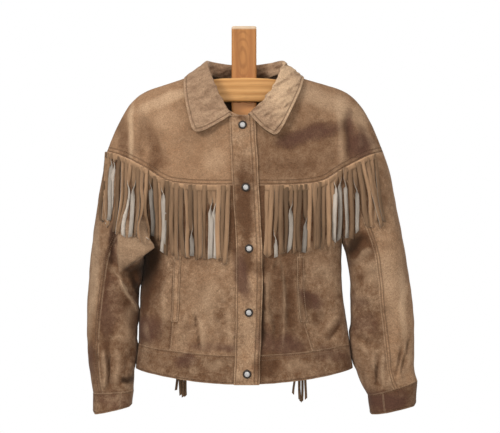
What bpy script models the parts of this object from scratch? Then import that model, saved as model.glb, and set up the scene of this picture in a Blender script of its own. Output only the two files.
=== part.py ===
"""A waist-length fringed suede jacket hanging on a plain wooden cross hanger.

Metres, +Z up. The jacket's front faces -Y, and the origin is at the top of the
hanger's upright. "Left" and "right" are as seen from the front: left is -X.

Every cloth piece is an open grid of points with a Solidify modifier. The body is
a stack of flattened rings (TORSO), the yoke a cape of rings that widens from the
neck to the fringe line (CAPE), and each sleeve a tube of tilted rings.
"""

import math
from collections import namedtuple

import bmesh
import bpy
import numpy as np
from mathutils import Vector
from mathutils.bvhtree import BVHTree

# ---- driving dimensions -------------------------------------------------------

CLOTH = 0.0016          # one layer of suede
DOUBLE = 0.0024         # two layers: collar, cuffs, waistband, placket
GAP = 0.0003            # between pieces that meet
SHARP_GAP = 0.0006      # the same, where the two pieces meet at an angle
CAP_GAP, ARMPIT_GAP = 0.0008, 0.0024    # under sleeve to body, at the top and under the arm
LAY = 0.0023            # middle of a piece that lies on a panel, above the panel's middle
AXIS_Y = -0.020         # the jacket's middle plane, in the crossbar's middle

PLAN_POWER = 2.4        # 2 is an ellipse; more is squarer
UPPER_ROWS = 5          # fringe line to armpit
LOWER_ROWS = 7          # armpit to waist seam
CENTRE_COLUMNS = 5      # placket to pocket seam
SIDE_SPREAD = [0.0, 0.30, 0.60, 0.84, 1.0]  # columns from the pocket seam to the side
SIDE_COLUMNS = len(SIDE_SPREAD) - 1
BACK_EASE = 1.25        # the back's columns lie closer together at its sides
CAP_COLUMNS = 5         # front of the armhole, over the top of the sleeve
SLEEVE_ROWS = 15
ARMPIT_Z = -0.435

# Height, half width, middle, and depth of the front and the back.
Torso = namedtuple("Torso", "z half middle front back")
TORSO = [
    Torso(-0.200, 0.2695, 0.002, 0.068, 0.066),
    Torso(-0.316, 0.2695, 0.002, 0.068, 0.066),
    Torso(-0.350, 0.2500, 0.001, 0.070, 0.068),
    Torso(-0.390, 0.2160, 0.000, 0.072, 0.070),
    Torso(-0.435, 0.1910, -0.001, 0.074, 0.072),
    Torso(-0.517, 0.1960, -0.005, 0.076, 0.074),
    Torso(-0.560, 0.2000, -0.003, 0.077, 0.075),
    Torso(-0.625, 0.2055, 0.000, 0.078, 0.076),
    Torso(-0.710, 0.2155, 0.000, 0.080, 0.078),
]

# Rings of the cape, from the neck (v = 0) to the fringe line (v = 1).
Cape = namedtuple("Cape", "v reach side_z front_z back_z front back power")
CAPE = [
    Cape(0.00, 0.0750, -0.0890, -0.181, -0.103, 0.058, 0.054, 2.0),
    Cape(0.20, 0.1200, -0.1055, -0.207, -0.142, 0.061, 0.057, 1.85),
    Cape(0.40, 0.1650, -0.1190, -0.234, -0.182, 0.064, 0.061, 1.8),
    Cape(0.60, 0.2040, -0.1335, -0.261, -0.222, 0.066, 0.063, 1.85),
    Cape(0.75, 0.2300, -0.1600, -0.281, -0.252, 0.067, 0.064, 2.0),
    Cape(0.90, 0.2540, -0.2080, -0.301, -0.282, 0.068, 0.065, 2.2),
    Cape(1.00, 0.2695, -0.2480, -0.314, -0.302, 0.068, 0.066, PLAN_POWER),
]
CAPE_STEPS = [0.0, 0.14, 0.28, 0.42, 0.54, 0.64, 0.76, 0.88, 1.0]
NECK_DIP = 1.4          # how sharply the neck edge falls to the front

# The fringe line: share of the way from the middle to the tip, share of the drop.
Edge = namedtuple("Edge", "across drop")
FRINGE_LINE = [
    Edge(0.00, 1.00), Edge(0.10, 1.00), Edge(0.45, 0.955), Edge(0.56, 0.87),
    Edge(0.69, 0.53), Edge(0.86, 0.16), Edge(1.00, 0.00),
]

# The body's edge in the armhole: height, distance from the middle.
Armhole = namedtuple("Armhole", "z reach")
ARMHOLE = [
    Armhole(-0.270, 0.185), Armhole(-0.330, 0.183), Armhole(-0.380, 0.185),
    Armhole(-0.415, 0.188), Armhole(-0.435, 0.191),
]

# Waist seam and hem fall towards the middle of the front.
WAIST_Z, WAIST_RISE = -0.637, 0.017
HEM_Z, HEM_RISE = -0.6915, 0.024
BACK_LIFT = 0.006
DROOP_POWER = 1.45

# Placket edges: height, left and right.
Placket = namedtuple("Placket", "z left right")
PLACKET = [
    Placket(-0.184, -0.0270, 0.0205), Placket(-0.300, -0.0215, 0.0270),
    Placket(-0.478, -0.0135, 0.0350), Placket(-0.580, -0.0150, 0.0330),
    Placket(-0.700, -0.0185, 0.0290),
]
LAP = 0.014             # how far the fronts' meeting line lies behind the placket's left edge
PLACKET_ROWS = 22
SNAP_HEIGHTS = [-0.199, -0.318, -0.434, -0.555, -0.671]
SNAP_RADIUS, SNAP_CAP_RADIUS, SNAP_HEIGHT = 0.0082, 0.0060, 0.0026

# Pocket seam: height, distance from the middle on the left and the right.
Seam = namedtuple("Seam", "z left right")
POCKET_SEAM = [
    Seam(-0.300, 0.122, 0.104), Seam(-0.452, 0.126, 0.107),
    Seam(-0.560, 0.131, 0.113), Seam(-0.640, 0.142, 0.133),
]
WELT_TOP, WELT_BOTTOM, WELT_WIDTH = -0.450, -0.573, 0.012

# Soft folds: top and bottom (x, z), half width, and height (below 0 is a trough).
# They fade out within FOLD_FADE of the middle plane.
FOLD_FADE = 0.030
Fold = namedtuple("Fold", "x0 z0 x1 z1 width height")
FRONT_FOLDS = [
    Fold(-0.214, -0.140, -0.214, -0.262, 0.013, 0.0080),
    Fold(-0.183, -0.150, -0.176, -0.275, 0.015, -0.0080),
    Fold(0.194, -0.145, 0.190, -0.270, 0.012, 0.0075),
    Fold(0.216, -0.150, 0.210, -0.262, 0.011, -0.0070),
    Fold(0.078, -0.400, 0.080, -0.645, 0.012, 0.0070),
    Fold(0.054, -0.420, 0.060, -0.640, 0.010, -0.0050),
    Fold(-0.096, -0.500, -0.085, -0.650, 0.010, -0.0060),
    Fold(-0.060, -0.460, -0.055, -0.648, 0.012, 0.0050),
    Fold(-0.160, -0.480, -0.165, -0.645, 0.013, 0.0060),
    Fold(0.150, -0.500, 0.168, -0.645, 0.013, -0.0060),
    Fold(0.180, -0.560, 0.120, -0.625, 0.016, 0.0040),
]
BACK_FOLDS = [
    Fold(-0.206, -0.150, -0.204, -0.262, 0.012, 0.0055),
    Fold(0.206, -0.150, 0.204, -0.262, 0.012, 0.0055),
    Fold(-0.110, -0.330, -0.120, -0.640, 0.016, 0.0050),
    Fold(-0.050, -0.420, -0.046, -0.640, 0.013, -0.0045),
    Fold(0.036, -0.360, 0.046, -0.640, 0.016, 0.0045),
    Fold(0.118, -0.400, 0.124, -0.640, 0.014, -0.0050),
]

# Sleeve rings: outer and inner point as seen from the front (distance from the
# middle, height), depth to the front and back, and the turn of the columns.
Ring = namedtuple("Ring", "s out out_z inn inn_z front back turn")
SLEEVE_LEFT = [
    Ring(0.00, 0.2680, -0.2480, 0.1910, -0.4350, 0.058, 0.056, 0),
    Ring(0.12, 0.2790, -0.3060, 0.1960, -0.4500, 0.060, 0.057, 0),
    Ring(0.28, 0.2885, -0.3760, 0.1995, -0.4780, 0.060, 0.056, -4),
    Ring(0.40, 0.2970, -0.4350, 0.2025, -0.5060, 0.056, 0.053, -10),
    Ring(0.55, 0.3035, -0.5170, 0.2060, -0.5500, 0.047, 0.047, -16),
    Ring(0.67, 0.3055, -0.5750, 0.2075, -0.5950, 0.044, 0.044, -22),
    Ring(0.80, 0.3045, -0.6300, 0.2115, -0.6400, 0.041, 0.041, -24),
    Ring(0.90, 0.3010, -0.6740, 0.2150, -0.6740, 0.038, 0.038, -24),
    Ring(1.00, 0.2930, -0.7160, 0.2150, -0.7100, 0.032, 0.032, -24),
]
SLEEVE_RIGHT = [
    Ring(0.00, 0.2720, -0.2480, 0.1910, -0.4350, 0.058, 0.056, 0),
    Ring(0.05, 0.2830, -0.2740, 0.1940, -0.4420, 0.059, 0.057, 0),
    Ring(0.12, 0.2900, -0.3120, 0.1990, -0.4510, 0.060, 0.057, 0),
    Ring(0.28, 0.3040, -0.3900, 0.2040, -0.4760, 0.060, 0.056, 3),
    Ring(0.40, 0.3140, -0.4450, 0.2070, -0.5060, 0.057, 0.054, 4),
    Ring(0.55, 0.3260, -0.5200, 0.2075, -0.5500, 0.051, 0.049, 4),
    Ring(0.67, 0.3320, -0.5750, 0.2075, -0.5950, 0.047, 0.047, 2),
    Ring(0.80, 0.3320, -0.6300, 0.2120, -0.6400, 0.044, 0.044, 0),
    Ring(0.90, 0.3310, -0.6680, 0.2210, -0.6840, 0.041, 0.041, 0),
    Ring(1.00, 0.3370, -0.6915, 0.2400, -0.7200, 0.034, 0.034, 0),
]
SLEEVE_POWER = 2.3
CAP_BLEND = 0.34        # length over which the armhole's shape fades into the ring's
Cuff = namedtuple("Cuff", "out out_z inn inn_z front")
CUFF_LEFT = Cuff(0.2940, -0.7570, 0.2190, -0.7410, 0.033)
CUFF_RIGHT = Cuff(0.3350, -0.7390, 0.2460, -0.7570, 0.035)
CUFF_SLIT = 112         # degrees from the outside towards the front
CUFF_COLUMNS, CUFF_ROWS = 20, 2

# Folds on the sleeves' fronts, in the same form as the body's.
SLEEVE_FOLDS = [
    Fold(-0.232, -0.380, -0.246, -0.478, 0.022, 0.0150),
    Fold(-0.200, -0.385, -0.222, -0.450, 0.014, 0.0100),
    Fold(-0.222, -0.500, -0.212, -0.580, 0.012, -0.0070),
    Fold(-0.267, -0.600, -0.266, -0.715, 0.009, -0.0070),
    Fold(-0.284, -0.600, -0.280, -0.715, 0.009, 0.0045),
    Fold(0.262, -0.630, 0.266, -0.712, 0.009, -0.0070),
    Fold(0.304, -0.600, 0.318, -0.700, 0.009, -0.0070),
    Fold(0.284, -0.600, 0.292, -0.705, 0.010, 0.0050),
    Fold(0.235, -0.455, 0.285, -0.520, 0.014, -0.0070),
    Fold(0.230, -0.500, 0.262, -0.560, 0.013, 0.0060),
]

# Collar stations from the middle of the back to the front end: direction of the
# neck edge (degrees from the front), the folded top edge, and the outer edge.
Station = namedtuple("Station", "turn fold_x fold_y fold_z edge_x edge_y edge_z")
COLLAR_LEFT = [
    Station(180, 0.000, 0.046, -0.0755, 0.000, 0.074, -0.1480),
    Station(138, 0.046, 0.038, -0.0705, 0.078, 0.060, -0.1400),
    Station(110, 0.068, 0.018, -0.0675, 0.104, 0.030, -0.1180),
    Station(88, 0.070, -0.006, -0.0740, 0.114, 0.000, -0.1000),
    Station(66, 0.060, -0.034, -0.1020, 0.116, -0.030, -0.1200),
    Station(44, 0.043, -0.052, -0.1400, 0.108, -0.054, -0.1640),
    Station(21, 0.0235, -0.062, -0.1680, 0.0955, -0.066, -0.2060),
]
COLLAR_RIGHT = COLLAR_LEFT[:3] + [
    Station(88, 0.076, -0.006, -0.0740, 0.116, 0.000, -0.1000),
    Station(66, 0.063, -0.034, -0.1040, 0.111, -0.032, -0.1240),
    Station(44, 0.039, -0.054, -0.1420, 0.089, -0.058, -0.1660),
    Station(21, 0.0110, -0.064, -0.1660, 0.063, -0.070, -0.2130),
]
COLLAR_SPANS = 2        # grid columns between two stations
STAND_ROWS, FALL_ROWS = 2, 4
FOLD_RADIUS = 0.0035
FALL_BULGE = 0.0020

# Fringe: how far from the middle each front or sleeve fringe ends, and its length.
# Every strand is a little longer or shorter than that, by up to ragged.
FRINGE_RAGGED = 0.006
FRONT_LENGTH_LEFT, FRONT_LENGTH_RIGHT = 0.124, 0.120
SLEEVE_LENGTH_LEFT, SLEEVE_LENGTH_RIGHT = 0.134, 0.122
SLEEVE_END_LEFT, SLEEVE_END_RIGHT = 0.254, 0.246
BACK_LENGTH = 0.124
CLEAR_OF_PLACKET_LEFT, CLEAR_OF_PLACKET_RIGHT = 0.002, 0.009
CLEAR_OF_CORNER = 0.008     # radians, on each side of the armhole's front end
CLEAR_OF_TIP = 0.04         # radians, from the sleeve's tip to the back fringe
STRAND_WIDTH, STRAND_PITCH = 0.0074, 0.0086
STRIP_HEIGHT, STRIP_DROP = 0.010, 0.0010
STRAND_ROWS = 3
STRIP_CLEAR, STRAND_CLEAR = 0.0025, 0.0034
STRAND_SPREAD = 0.0010  # each row of a strand hangs this much further out

# Tassels on the back's waist seam.
Tassel = namedtuple("Tassel", "name x length")
TASSELS = [Tassel("tassel_left", -0.123, 0.094), Tassel("tassel_right", 0.112, 0.103)]
TASSEL_HALF_WIDTH, TASSEL_ABOVE_SEAM, TASSEL_RAGGED = 0.015, 0.012, 0.010
TASSEL_STRAND_WIDTH, TASSEL_PITCH = 0.0056, 0.0068

# Hanger.
UPRIGHT_WIDTH, UPRIGHT_DEPTH, UPRIGHT_LENGTH = 0.049, 0.020, 0.230
BAR_DEPTH = 0.020
Bar = namedtuple("Bar", "x top bottom")
BAR = [
    Bar(0.000, -0.1035, -0.1500), Bar(0.060, -0.1065, -0.1510), Bar(0.120, -0.1190, -0.1570),
    Bar(0.165, -0.1286, -0.1660), Bar(0.198, -0.1415, -0.1740), Bar(0.208, -0.1505, -0.1730),
]
BAR_SPANS = 9

SUEDE, DARK_SUEDE, PALE_SUEDE = (0.30, 0.19, 0.11), (0.17, 0.11, 0.075), (0.42, 0.30, 0.19)
PINE, OAK = (0.62, 0.38, 0.16), (0.42, 0.20, 0.07)
STEEL, PEARL = (0.10, 0.10, 0.10), (0.62, 0.62, 0.60)


# ---- tables and curves ------------------------------------------------------------

def along(table, value):
    """A row of the table at any value of its first column, on a smooth curve that
    runs through the rows and never overshoots them."""
    rows = np.array(table, float)
    if rows[0, 0] > rows[-1, 0]:
        rows = rows[::-1]
    keys, values = rows[:, 0], rows[:, 1:]
    value = min(max(value, keys[0]), keys[-1])
    i = min(int(np.searchsorted(keys, value, side="right")) - 1, len(keys) - 2)
    steps = np.diff(keys)[:, None]
    slopes = np.diff(values, axis=0) / steps
    tangents = np.vstack([slopes[:1], 0.5 * (slopes[1:] + slopes[:-1]), slopes[-1:]])
    turns = slopes[1:] * slopes[:-1] <= 0
    tangents[1:-1][turns] = 0
    limit = 3 * np.minimum(np.abs(slopes[1:]), np.abs(slopes[:-1]))
    tangents[1:-1] = np.clip(tangents[1:-1], -limit, limit)
    h = steps[i]
    t = (value - keys[i]) / h
    a, b = values[i], values[i + 1]
    found = (a * (1 + 2 * t) * (1 - t) ** 2 + h * tangents[i] * t * (1 - t) ** 2
             + b * t * t * (3 - 2 * t) + h * tangents[i + 1] * t * t * (t - 1))
    return type(table[0])(value, *found)


def lerp(a, b, t):
    return a + (b - a) * t


def smoothstep(t):
    t = min(max(t, 0.0), 1.0)
    return t * t * (3 - 2 * t)


def side_spread():
    return [1 + share for share in SIDE_SPREAD]


def back_spread():
    """Shares of the way from the middle of the back to its side."""
    count = CENTRE_COLUMNS + SIDE_COLUMNS
    return [1 - (1 - i / count) ** BACK_EASE for i in range(count + 1)]


def signed_power(value, power):
    return math.copysign(abs(value) ** power, value)


def spread(first, last, count):
    return [lerp(first, last, i / count) for i in range(count + 1)]


def fold_height(folds, x, z):
    """How far the soft folds raise the cloth at this place."""
    total = 0.0
    for f in folds:
        t = (z - f.z0) / (f.z1 - f.z0)
        if not 0 < t < 1:
            continue
        across = (x - lerp(f.x0, f.x1, t)) / f.width
        ends = smoothstep(t / 0.25) * smoothstep((1 - t) / 0.12)
        total += f.height * ends * math.exp(-across * across)
    return total


# ---- the body's surface ---------------------------------------------------------------

def ring_point(half, front, back, power, turn, z):
    """A point of a flattened ring, turn radians from the middle of the front."""
    side, forward = math.sin(turn), math.cos(turn)
    depth = front if forward > 0 else back
    return Vector((half * signed_power(side, 2 / power),
                   AXIS_Y - depth * signed_power(forward, 2 / power), z))


def with_folds(point):
    """The point raised by the folds of its side, away from the jacket's middle plane."""
    front = point.y < AXIS_Y
    height = fold_height(FRONT_FOLDS if front else BACK_FOLDS, point.x, point.z)
    fade = smoothstep(abs(point.y - AXIS_Y) / FOLD_FADE)
    return point + Vector((0, (-1 if front else 1) * height * fade, 0))


def turn_at(x, half, power):
    """The ring's turn at a distance x from its middle, on the front."""
    share = min(max(x / half, -1), 1)
    return math.asin(signed_power(share, power / 2))


def torso(turn, z):
    row = along(TORSO, z)
    point = ring_point(row.half, row.front, row.back, PLAN_POWER, turn, z)
    point.x += row.middle
    return with_folds(point)


def fringe_line_z(turn, v=1.0):
    """Height of the cape's ring v at this turn."""
    row = along(CAPE, v)
    low = row.front_z if math.cos(turn) > 0 else row.back_z
    across = abs(math.sin(turn)) ** (2 / row.power)
    at_line = along(FRINGE_LINE, across).drop
    at_neck = abs(math.cos(turn)) ** NECK_DIP
    return row.side_z + (low - row.side_z) * lerp(at_neck, at_line, v)


def cape(turn, v):
    row = along(CAPE, v)
    point = ring_point(row.reach, row.front, row.back, row.power, turn, fringe_line_z(turn, v))
    point.x += lerp(0.001, TORSO[0].middle, v)
    return with_folds(point)


def meeting_x(z):
    """Where the two fronts meet, behind the placket."""
    return along(PLACKET, z).left + LAP


def meeting_turn(z):
    row = along(TORSO, z)
    return turn_at(meeting_x(z) - row.middle, row.half, PLAN_POWER)


def pocket_turn(side, z):
    row, seam = along(TORSO, z), along(POCKET_SEAM, z)
    reach = seam.left if side < 0 else seam.right
    return side * turn_at(reach, row.half, PLAN_POWER)


def armhole_turn(z):
    """The body's edge: along the armhole above the armpit, at the side seam below it."""
    if z <= ARMPIT_Z:
        return math.pi / 2
    return turn_at(along(ARMHOLE, z).reach, along(TORSO, z).half, PLAN_POWER)


def body_edge_z(turn, base, rise):
    across = abs(math.sin(turn)) ** DROOP_POWER
    lift = BACK_LIFT * smoothstep(-math.cos(turn) * 2)
    return base + rise * across + lift


def fixed_turn(edge, guess, base_z):
    """Solves for the turn of an edge on a line whose height depends on the turn."""
    turn = guess
    for _ in range(12):
        turn = edge(base_z(turn))
    return turn


F_TURN = fixed_turn(armhole_turn, 0.6, fringe_line_z)
B_TURN = fixed_turn(armhole_turn, 0.6, lambda turn: fringe_line_z(math.pi - turn))


# ---- grids of cloth ---------------------------------------------------------------------

def pulled_in(grid, top=0.0, bottom=0.0, left=0.0, right=0.0):
    """The grid with its edge points moved inwards along the cloth."""
    grid = [list(row) for row in grid]

    def moved(point, towards, distance):
        return point + (towards - point).normalized() * distance

    for row in grid:
        if left:
            row[0] = moved(row[0], row[1], left)
        if right:
            row[-1] = moved(row[-1], row[-2], right)
    for column in range(len(grid[0])):
        if top:
            grid[0][column] = moved(grid[0][column], grid[1][column], top)
        if bottom:
            grid[-1][column] = moved(grid[-1][column], grid[-2][column], bottom)
    return grid


def body_rows(turn_of_column, columns):
    """Rows of body points from the fringe line to the waist seam. turn_of_column
    gives the turn of a column at a height."""
    grid = []
    for row in range(UPPER_ROWS + LOWER_ROWS + 1):
        points = []
        for column in columns:
            def height(turn):
                top, waist = fringe_line_z(turn), body_edge_z(turn, WAIST_Z, WAIST_RISE)
                if row <= UPPER_ROWS:
                    return lerp(top, ARMPIT_Z, row / UPPER_ROWS)
                return lerp(ARMPIT_Z, waist, (row - UPPER_ROWS) / LOWER_ROWS)

            turn = fixed_turn(lambda z: turn_of_column(column, z), turn_of_column(column, -0.3),
                              height)
            points.append(torso(turn, height(turn)))
        grid.append(points)
    return grid


def front_turn(side):
    """Turn of a front column: 0 at the meeting line, 1 at the pocket seam, 2 at the edge."""
    def turn(column, z):
        start, seam = meeting_turn(z), pocket_turn(side, z)
        if column <= 1:
            return lerp(start, seam, column)
        return lerp(seam, side * armhole_turn(z), column - 1)
    return turn


def back_turn(column, z):
    """Turn of a back column: -1 at the left edge, 0 in the middle, 1 at the right edge."""
    return math.pi - column * armhole_turn(z)


def back_columns():
    right = back_spread()
    return [-share for share in reversed(right)] + right[1:]


def cape_grid(turns_at_line, turns_at_neck):
    grid = []
    for v in CAPE_STEPS:
        grid.append([cape(lerp(neck, line, v), v)
                     for line, neck in zip(turns_at_line, turns_at_neck)])
    return grid


def front_yoke_grid(side):
    line_turns = []
    for column in spread(0, 1, CENTRE_COLUMNS)[:-1] + side_spread()[:-1]:
        line_turns.append(fixed_turn(lambda z: front_turn(side)(column, z), 0.3 * side,
                                     fringe_line_z))
    line_turns += spread(side * F_TURN, side * math.pi / 2, CAP_COLUMNS)
    inner = meeting_x(CAPE[0].front_z) / CAPE[0].reach
    neck_turns = spread(math.asin(inner), side * math.pi / 2, len(line_turns) - 1)
    back_line, back_neck = back_yoke_turns()
    line_turns.append(side * back_line[1])
    neck_turns.append(side * back_neck[1])
    grid = cape_grid(line_turns, neck_turns)
    for row in grid:
        row[0].x = meeting_x(row[0].z)
    return grid


def back_yoke_turns():
    """Turns of the back yoke's columns from the side to the middle, at line and neck."""
    line = spread(math.pi / 2, B_TURN, CAP_COLUMNS)
    line += [B_TURN * share for share in reversed(back_spread()[:-1])]
    neck = spread(math.pi / 2, 0, len(line) - 1)
    return [math.pi - t for t in line], [math.pi - t for t in neck]


def back_yoke_grid():
    """The back yoke starts one column behind the tip, so its seam is off the ridge."""
    line, neck = (turns[1:] for turns in back_yoke_turns())
    line_turns = line + [2 * math.pi - t for t in reversed(line[:-1])]
    neck_turns = neck + [2 * math.pi - t for t in reversed(neck[:-1])]
    return cape_grid(line_turns, neck_turns)


# ---- sleeves ---------------------------------------------------------------------------------

def off_body(point, side, share):
    """A point of the body's edge moved outwards, clear of it: share is 0 at the fringe
    line, where the sleeve's two pieces meet, and 1 under the arm."""
    gap = lerp(CAP_GAP, ARMPIT_GAP, share) if share else 0.0
    return point + Vector((side * gap, 0, 0))


def armhole_loop(side):
    """The sleeve's top edge: turn of each column in degrees, and its point. It runs from
    the front of the armhole over the tip to the back, then under the arm to the front."""
    loop = []
    for i in range(CAP_COLUMNS + 1):
        turn = lerp(F_TURN, math.pi / 2, i / CAP_COLUMNS)
        loop.append((lerp(90, 0, i / CAP_COLUMNS), cape(side * turn, 1.0)))
    for i in range(1, CAP_COLUMNS + 1):
        turn = lerp(math.pi / 2, B_TURN, i / CAP_COLUMNS)
        loop.append((lerp(0, -90, i / CAP_COLUMNS), cape(side * (math.pi - turn), 1.0)))
    back_top = fringe_line_z(math.pi - B_TURN)
    for i in range(1, UPPER_ROWS + 1):
        z = lerp(back_top, ARMPIT_Z, i / UPPER_ROWS)
        edge = torso(side * (math.pi - armhole_turn(z)), z)
        loop.append((lerp(-90, -180, i / UPPER_ROWS), off_body(edge, side, i / UPPER_ROWS)))
    front_top = fringe_line_z(F_TURN)
    for i in range(1, UPPER_ROWS + 1):
        z = lerp(ARMPIT_Z, front_top, i / UPPER_ROWS)
        edge = torso(side * armhole_turn(z), z)
        share = 1 - i / UPPER_ROWS
        loop.append((lerp(-180, -270, i / UPPER_ROWS), off_body(edge, side, share)))
    return loop


def sleeve_point(rings, side, degrees, s):
    ring = along(rings, s)
    angle = math.radians(degrees + ring.turn * math.sin(math.radians(degrees)) ** 2)
    across = signed_power(math.cos(angle), 2 / SLEEVE_POWER)
    forward = signed_power(math.sin(angle), 2 / SLEEVE_POWER)
    depth = ring.front if forward > 0 else ring.back
    point = Vector((side * lerp(ring.inn, ring.out, 0.5 + 0.5 * across),
                    AXIS_Y - depth * forward,
                    lerp(ring.inn_z, ring.out_z, 0.5 + 0.5 * across)))
    if forward > 0:
        point.y -= fold_height(SLEEVE_FOLDS, point.x, point.z) * smoothstep(forward / 0.5)
    return point


def sleeve_grid(rings, side):
    loop = armhole_loop(side)
    grid = []
    for row in range(SLEEVE_ROWS + 1):
        s = row / SLEEVE_ROWS
        armhole_share = 1 - smoothstep(s / CAP_BLEND)
        points = []
        for degrees, start in loop:
            free = sleeve_point(rings, side, degrees, s)
            shift = start - sleeve_point(rings, side, degrees, 0.0)
            points.append(free + shift * armhole_share)
        grid.append(points)
    return grid


def cuff_grid(rings, cuff, side):
    """A band from the sleeve's end to the cuff's edge, open at its slit."""
    top = rings[-1]
    grid = []
    for row in range(CUFF_ROWS + 1):
        share = row / CUFF_ROWS
        ring = Ring(0, *(lerp(a, b, share) for a, b in (
            (top.out, cuff.out), (top.out_z, cuff.out_z), (top.inn, cuff.inn),
            (top.inn_z, cuff.inn_z), (top.front, cuff.front), (top.front, cuff.front))), 0)
        points = [sleeve_point([ring, ring._replace(s=1)], side, CUFF_SLIT - degrees, 0.5)
                  for degrees in spread(0, 360, CUFF_COLUMNS)]
        grid.append(points)
    return grid


# ---- objects -----------------------------------------------------------------------------------

def clear_scene():
    for obj in list(bpy.data.objects):
        bpy.data.objects.remove(obj, do_unlink=True)


def material(name, color, roughness, metallic=0.0):
    made = bpy.data.materials.new(name)
    made.use_nodes = True
    shader = made.node_tree.nodes["Principled BSDF"]
    shader.inputs["Base Color"].default_value = (*color, 1)
    shader.inputs["Roughness"].default_value = roughness
    shader.inputs["Metallic"].default_value = metallic
    return made


def link_mesh(name, mesh, color, roughness=0.9, metallic=0.0):
    obj = bpy.data.objects.new(name, mesh)
    obj.data.materials.append(material(name, color, roughness, metallic))
    bpy.data.collections["fringed_jacket"].objects.link(obj)
    return obj


def grid_mesh(name, grid):
    """A mesh of quads over the rows of points, its faces turned away from the middle."""
    built = bmesh.new()
    rows = [[built.verts.new(point) for point in row] for row in grid]
    for upper, lower in zip(rows, rows[1:]):
        for i in range(len(upper) - 1):
            built.faces.new((upper[i], lower[i], lower[i + 1], upper[i + 1]))
    built.normal_update()
    middle = sum((v.co for v in built.verts), Vector()) / len(built.verts)
    middle.y = AXIS_Y
    outward = sum((f.calc_center_median() - middle).dot(f.normal) * f.calc_area()
                  for f in built.faces)
    if outward < 0:
        bmesh.ops.reverse_faces(built, faces=built.faces)
    mesh = bpy.data.meshes.new(name)
    built.to_mesh(mesh)
    built.free()
    mesh.shade_smooth()
    return mesh


def cloth(name, grid, color=SUEDE, thickness=CLOTH):
    obj = link_mesh(name, grid_mesh(name, grid), color)
    wall = obj.modifiers.new("wall", "SOLIDIFY")
    wall.thickness = thickness
    wall.offset = 0.0
    return obj


def surface_of(grids):
    """A search tree over the middles of several pieces of cloth."""
    points, faces = [], []
    for grid in grids:
        mesh = grid_mesh("guide", grid)
        start = len(points)
        points += [v.co.copy() for v in mesh.vertices]
        faces += [tuple(start + i for i in face.vertices) for face in mesh.polygons]
        bpy.data.meshes.remove(mesh)
    return BVHTree.FromPolygons(points, faces)


def pushed_clear(point, surface, distance):
    """The point, moved straight away from the cloth until it is this far outside it."""
    point = point.copy()
    for _ in range(4):
        nearest, normal, _, _ = surface.find_nearest(point)
        height = (point - nearest).dot(normal)
        if height >= distance - 1e-5:
            break
        flat = Vector((normal.x, normal.y, 0))
        if flat.length < 0.3:
            flat = normal.copy()
        flat.normalize()
        point += flat * (distance - height) / max(flat.dot(normal), 0.3)
    return point


def hung_clear(above, target, across, surface, distance):
    """The lower end of a stretch of strand, so that its whole width and length stay
    clear of the cloth."""
    target = pushed_clear(target, surface, distance)
    for _ in range(3):
        for share in (0.25, 0.5, 0.75, 1.0):
            for sideways in (-1, 1):
                point = lerp(above, target, share) + across * sideways
                shift = pushed_clear(point, surface, 0.8 * distance) - point
                target += shift / share
    return target


def laid_on(x, z, surface, distance, from_back=False):
    """A point this far in front of (or behind) the cloth at this place."""
    direction = Vector((0, -1 if from_back else 1, 0))
    for nudge in (0.0, GAP, -GAP, 2 * GAP, -2 * GAP, 4 * GAP, -4 * GAP):
        start = Vector((x + nudge, -1.0 * direction.y, z + nudge))
        hit = surface.ray_cast(start, direction, 1.0)[0]
        if hit:
            break
    return Vector((x, hit.y, z)) - direction * distance


# ---- jacket ----------------------------------------------------------------------------------------

def build_body():
    half = GAP / 2
    grids = []
    for side, name in ((-1, "left"), (1, "right")):
        yoke = pulled_in(front_yoke_grid(side), bottom=half, left=half, right=SHARP_GAP / 2)
        cloth(f"yoke_front_{name}", yoke)
        turn = front_turn(side)
        centre = body_rows(turn, spread(0, 1, CENTRE_COLUMNS))
        sides = body_rows(turn, side_spread())
        cloth(f"front_{name}",
              pulled_in(centre, top=half, bottom=half, left=half, right=half))
        cloth(f"side_front_{name}",
              pulled_in(sides, top=half, bottom=half, left=half, right=SHARP_GAP / 2), DARK_SUEDE)
        grids += [yoke, centre, sides]
    seams = {"left": SHARP_GAP / 2, "right": SHARP_GAP / 2, "bottom": half}
    back_yoke = pulled_in(back_yoke_grid(), **seams)
    cloth("yoke_back", back_yoke)
    back = body_rows(back_turn, back_columns())
    cloth("back", pulled_in(back, top=half, **seams))
    return grids + [back_yoke, back]


def build_sleeves():
    half = GAP / 2
    grids = []
    for side, name, rings, cuff in ((-1, "left", SLEEVE_LEFT, CUFF_LEFT),
                                    (1, "right", SLEEVE_RIGHT, CUFF_RIGHT)):
        whole = sleeve_grid(rings, side)
        seam = 2 * CAP_COLUMNS
        upper = [row[:seam + 1] for row in whole]
        under = [row[seam:] for row in whole]
        seams = {"bottom": half, "left": SHARP_GAP / 2, "right": SHARP_GAP / 2}
        cloth(f"sleeve_{name}_upper", pulled_in(upper, top=half, **seams))
        cloth(f"sleeve_{name}_under", pulled_in(under, top=half, **seams), DARK_SUEDE)
        band = cuff_grid(rings, cuff, side)
        cloth(f"cuff_{name}", pulled_in(band, top=SHARP_GAP, left=SHARP_GAP, right=SHARP_GAP),
              DARK_SUEDE, DOUBLE)
        grids += [upper, under]
    return grids


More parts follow.
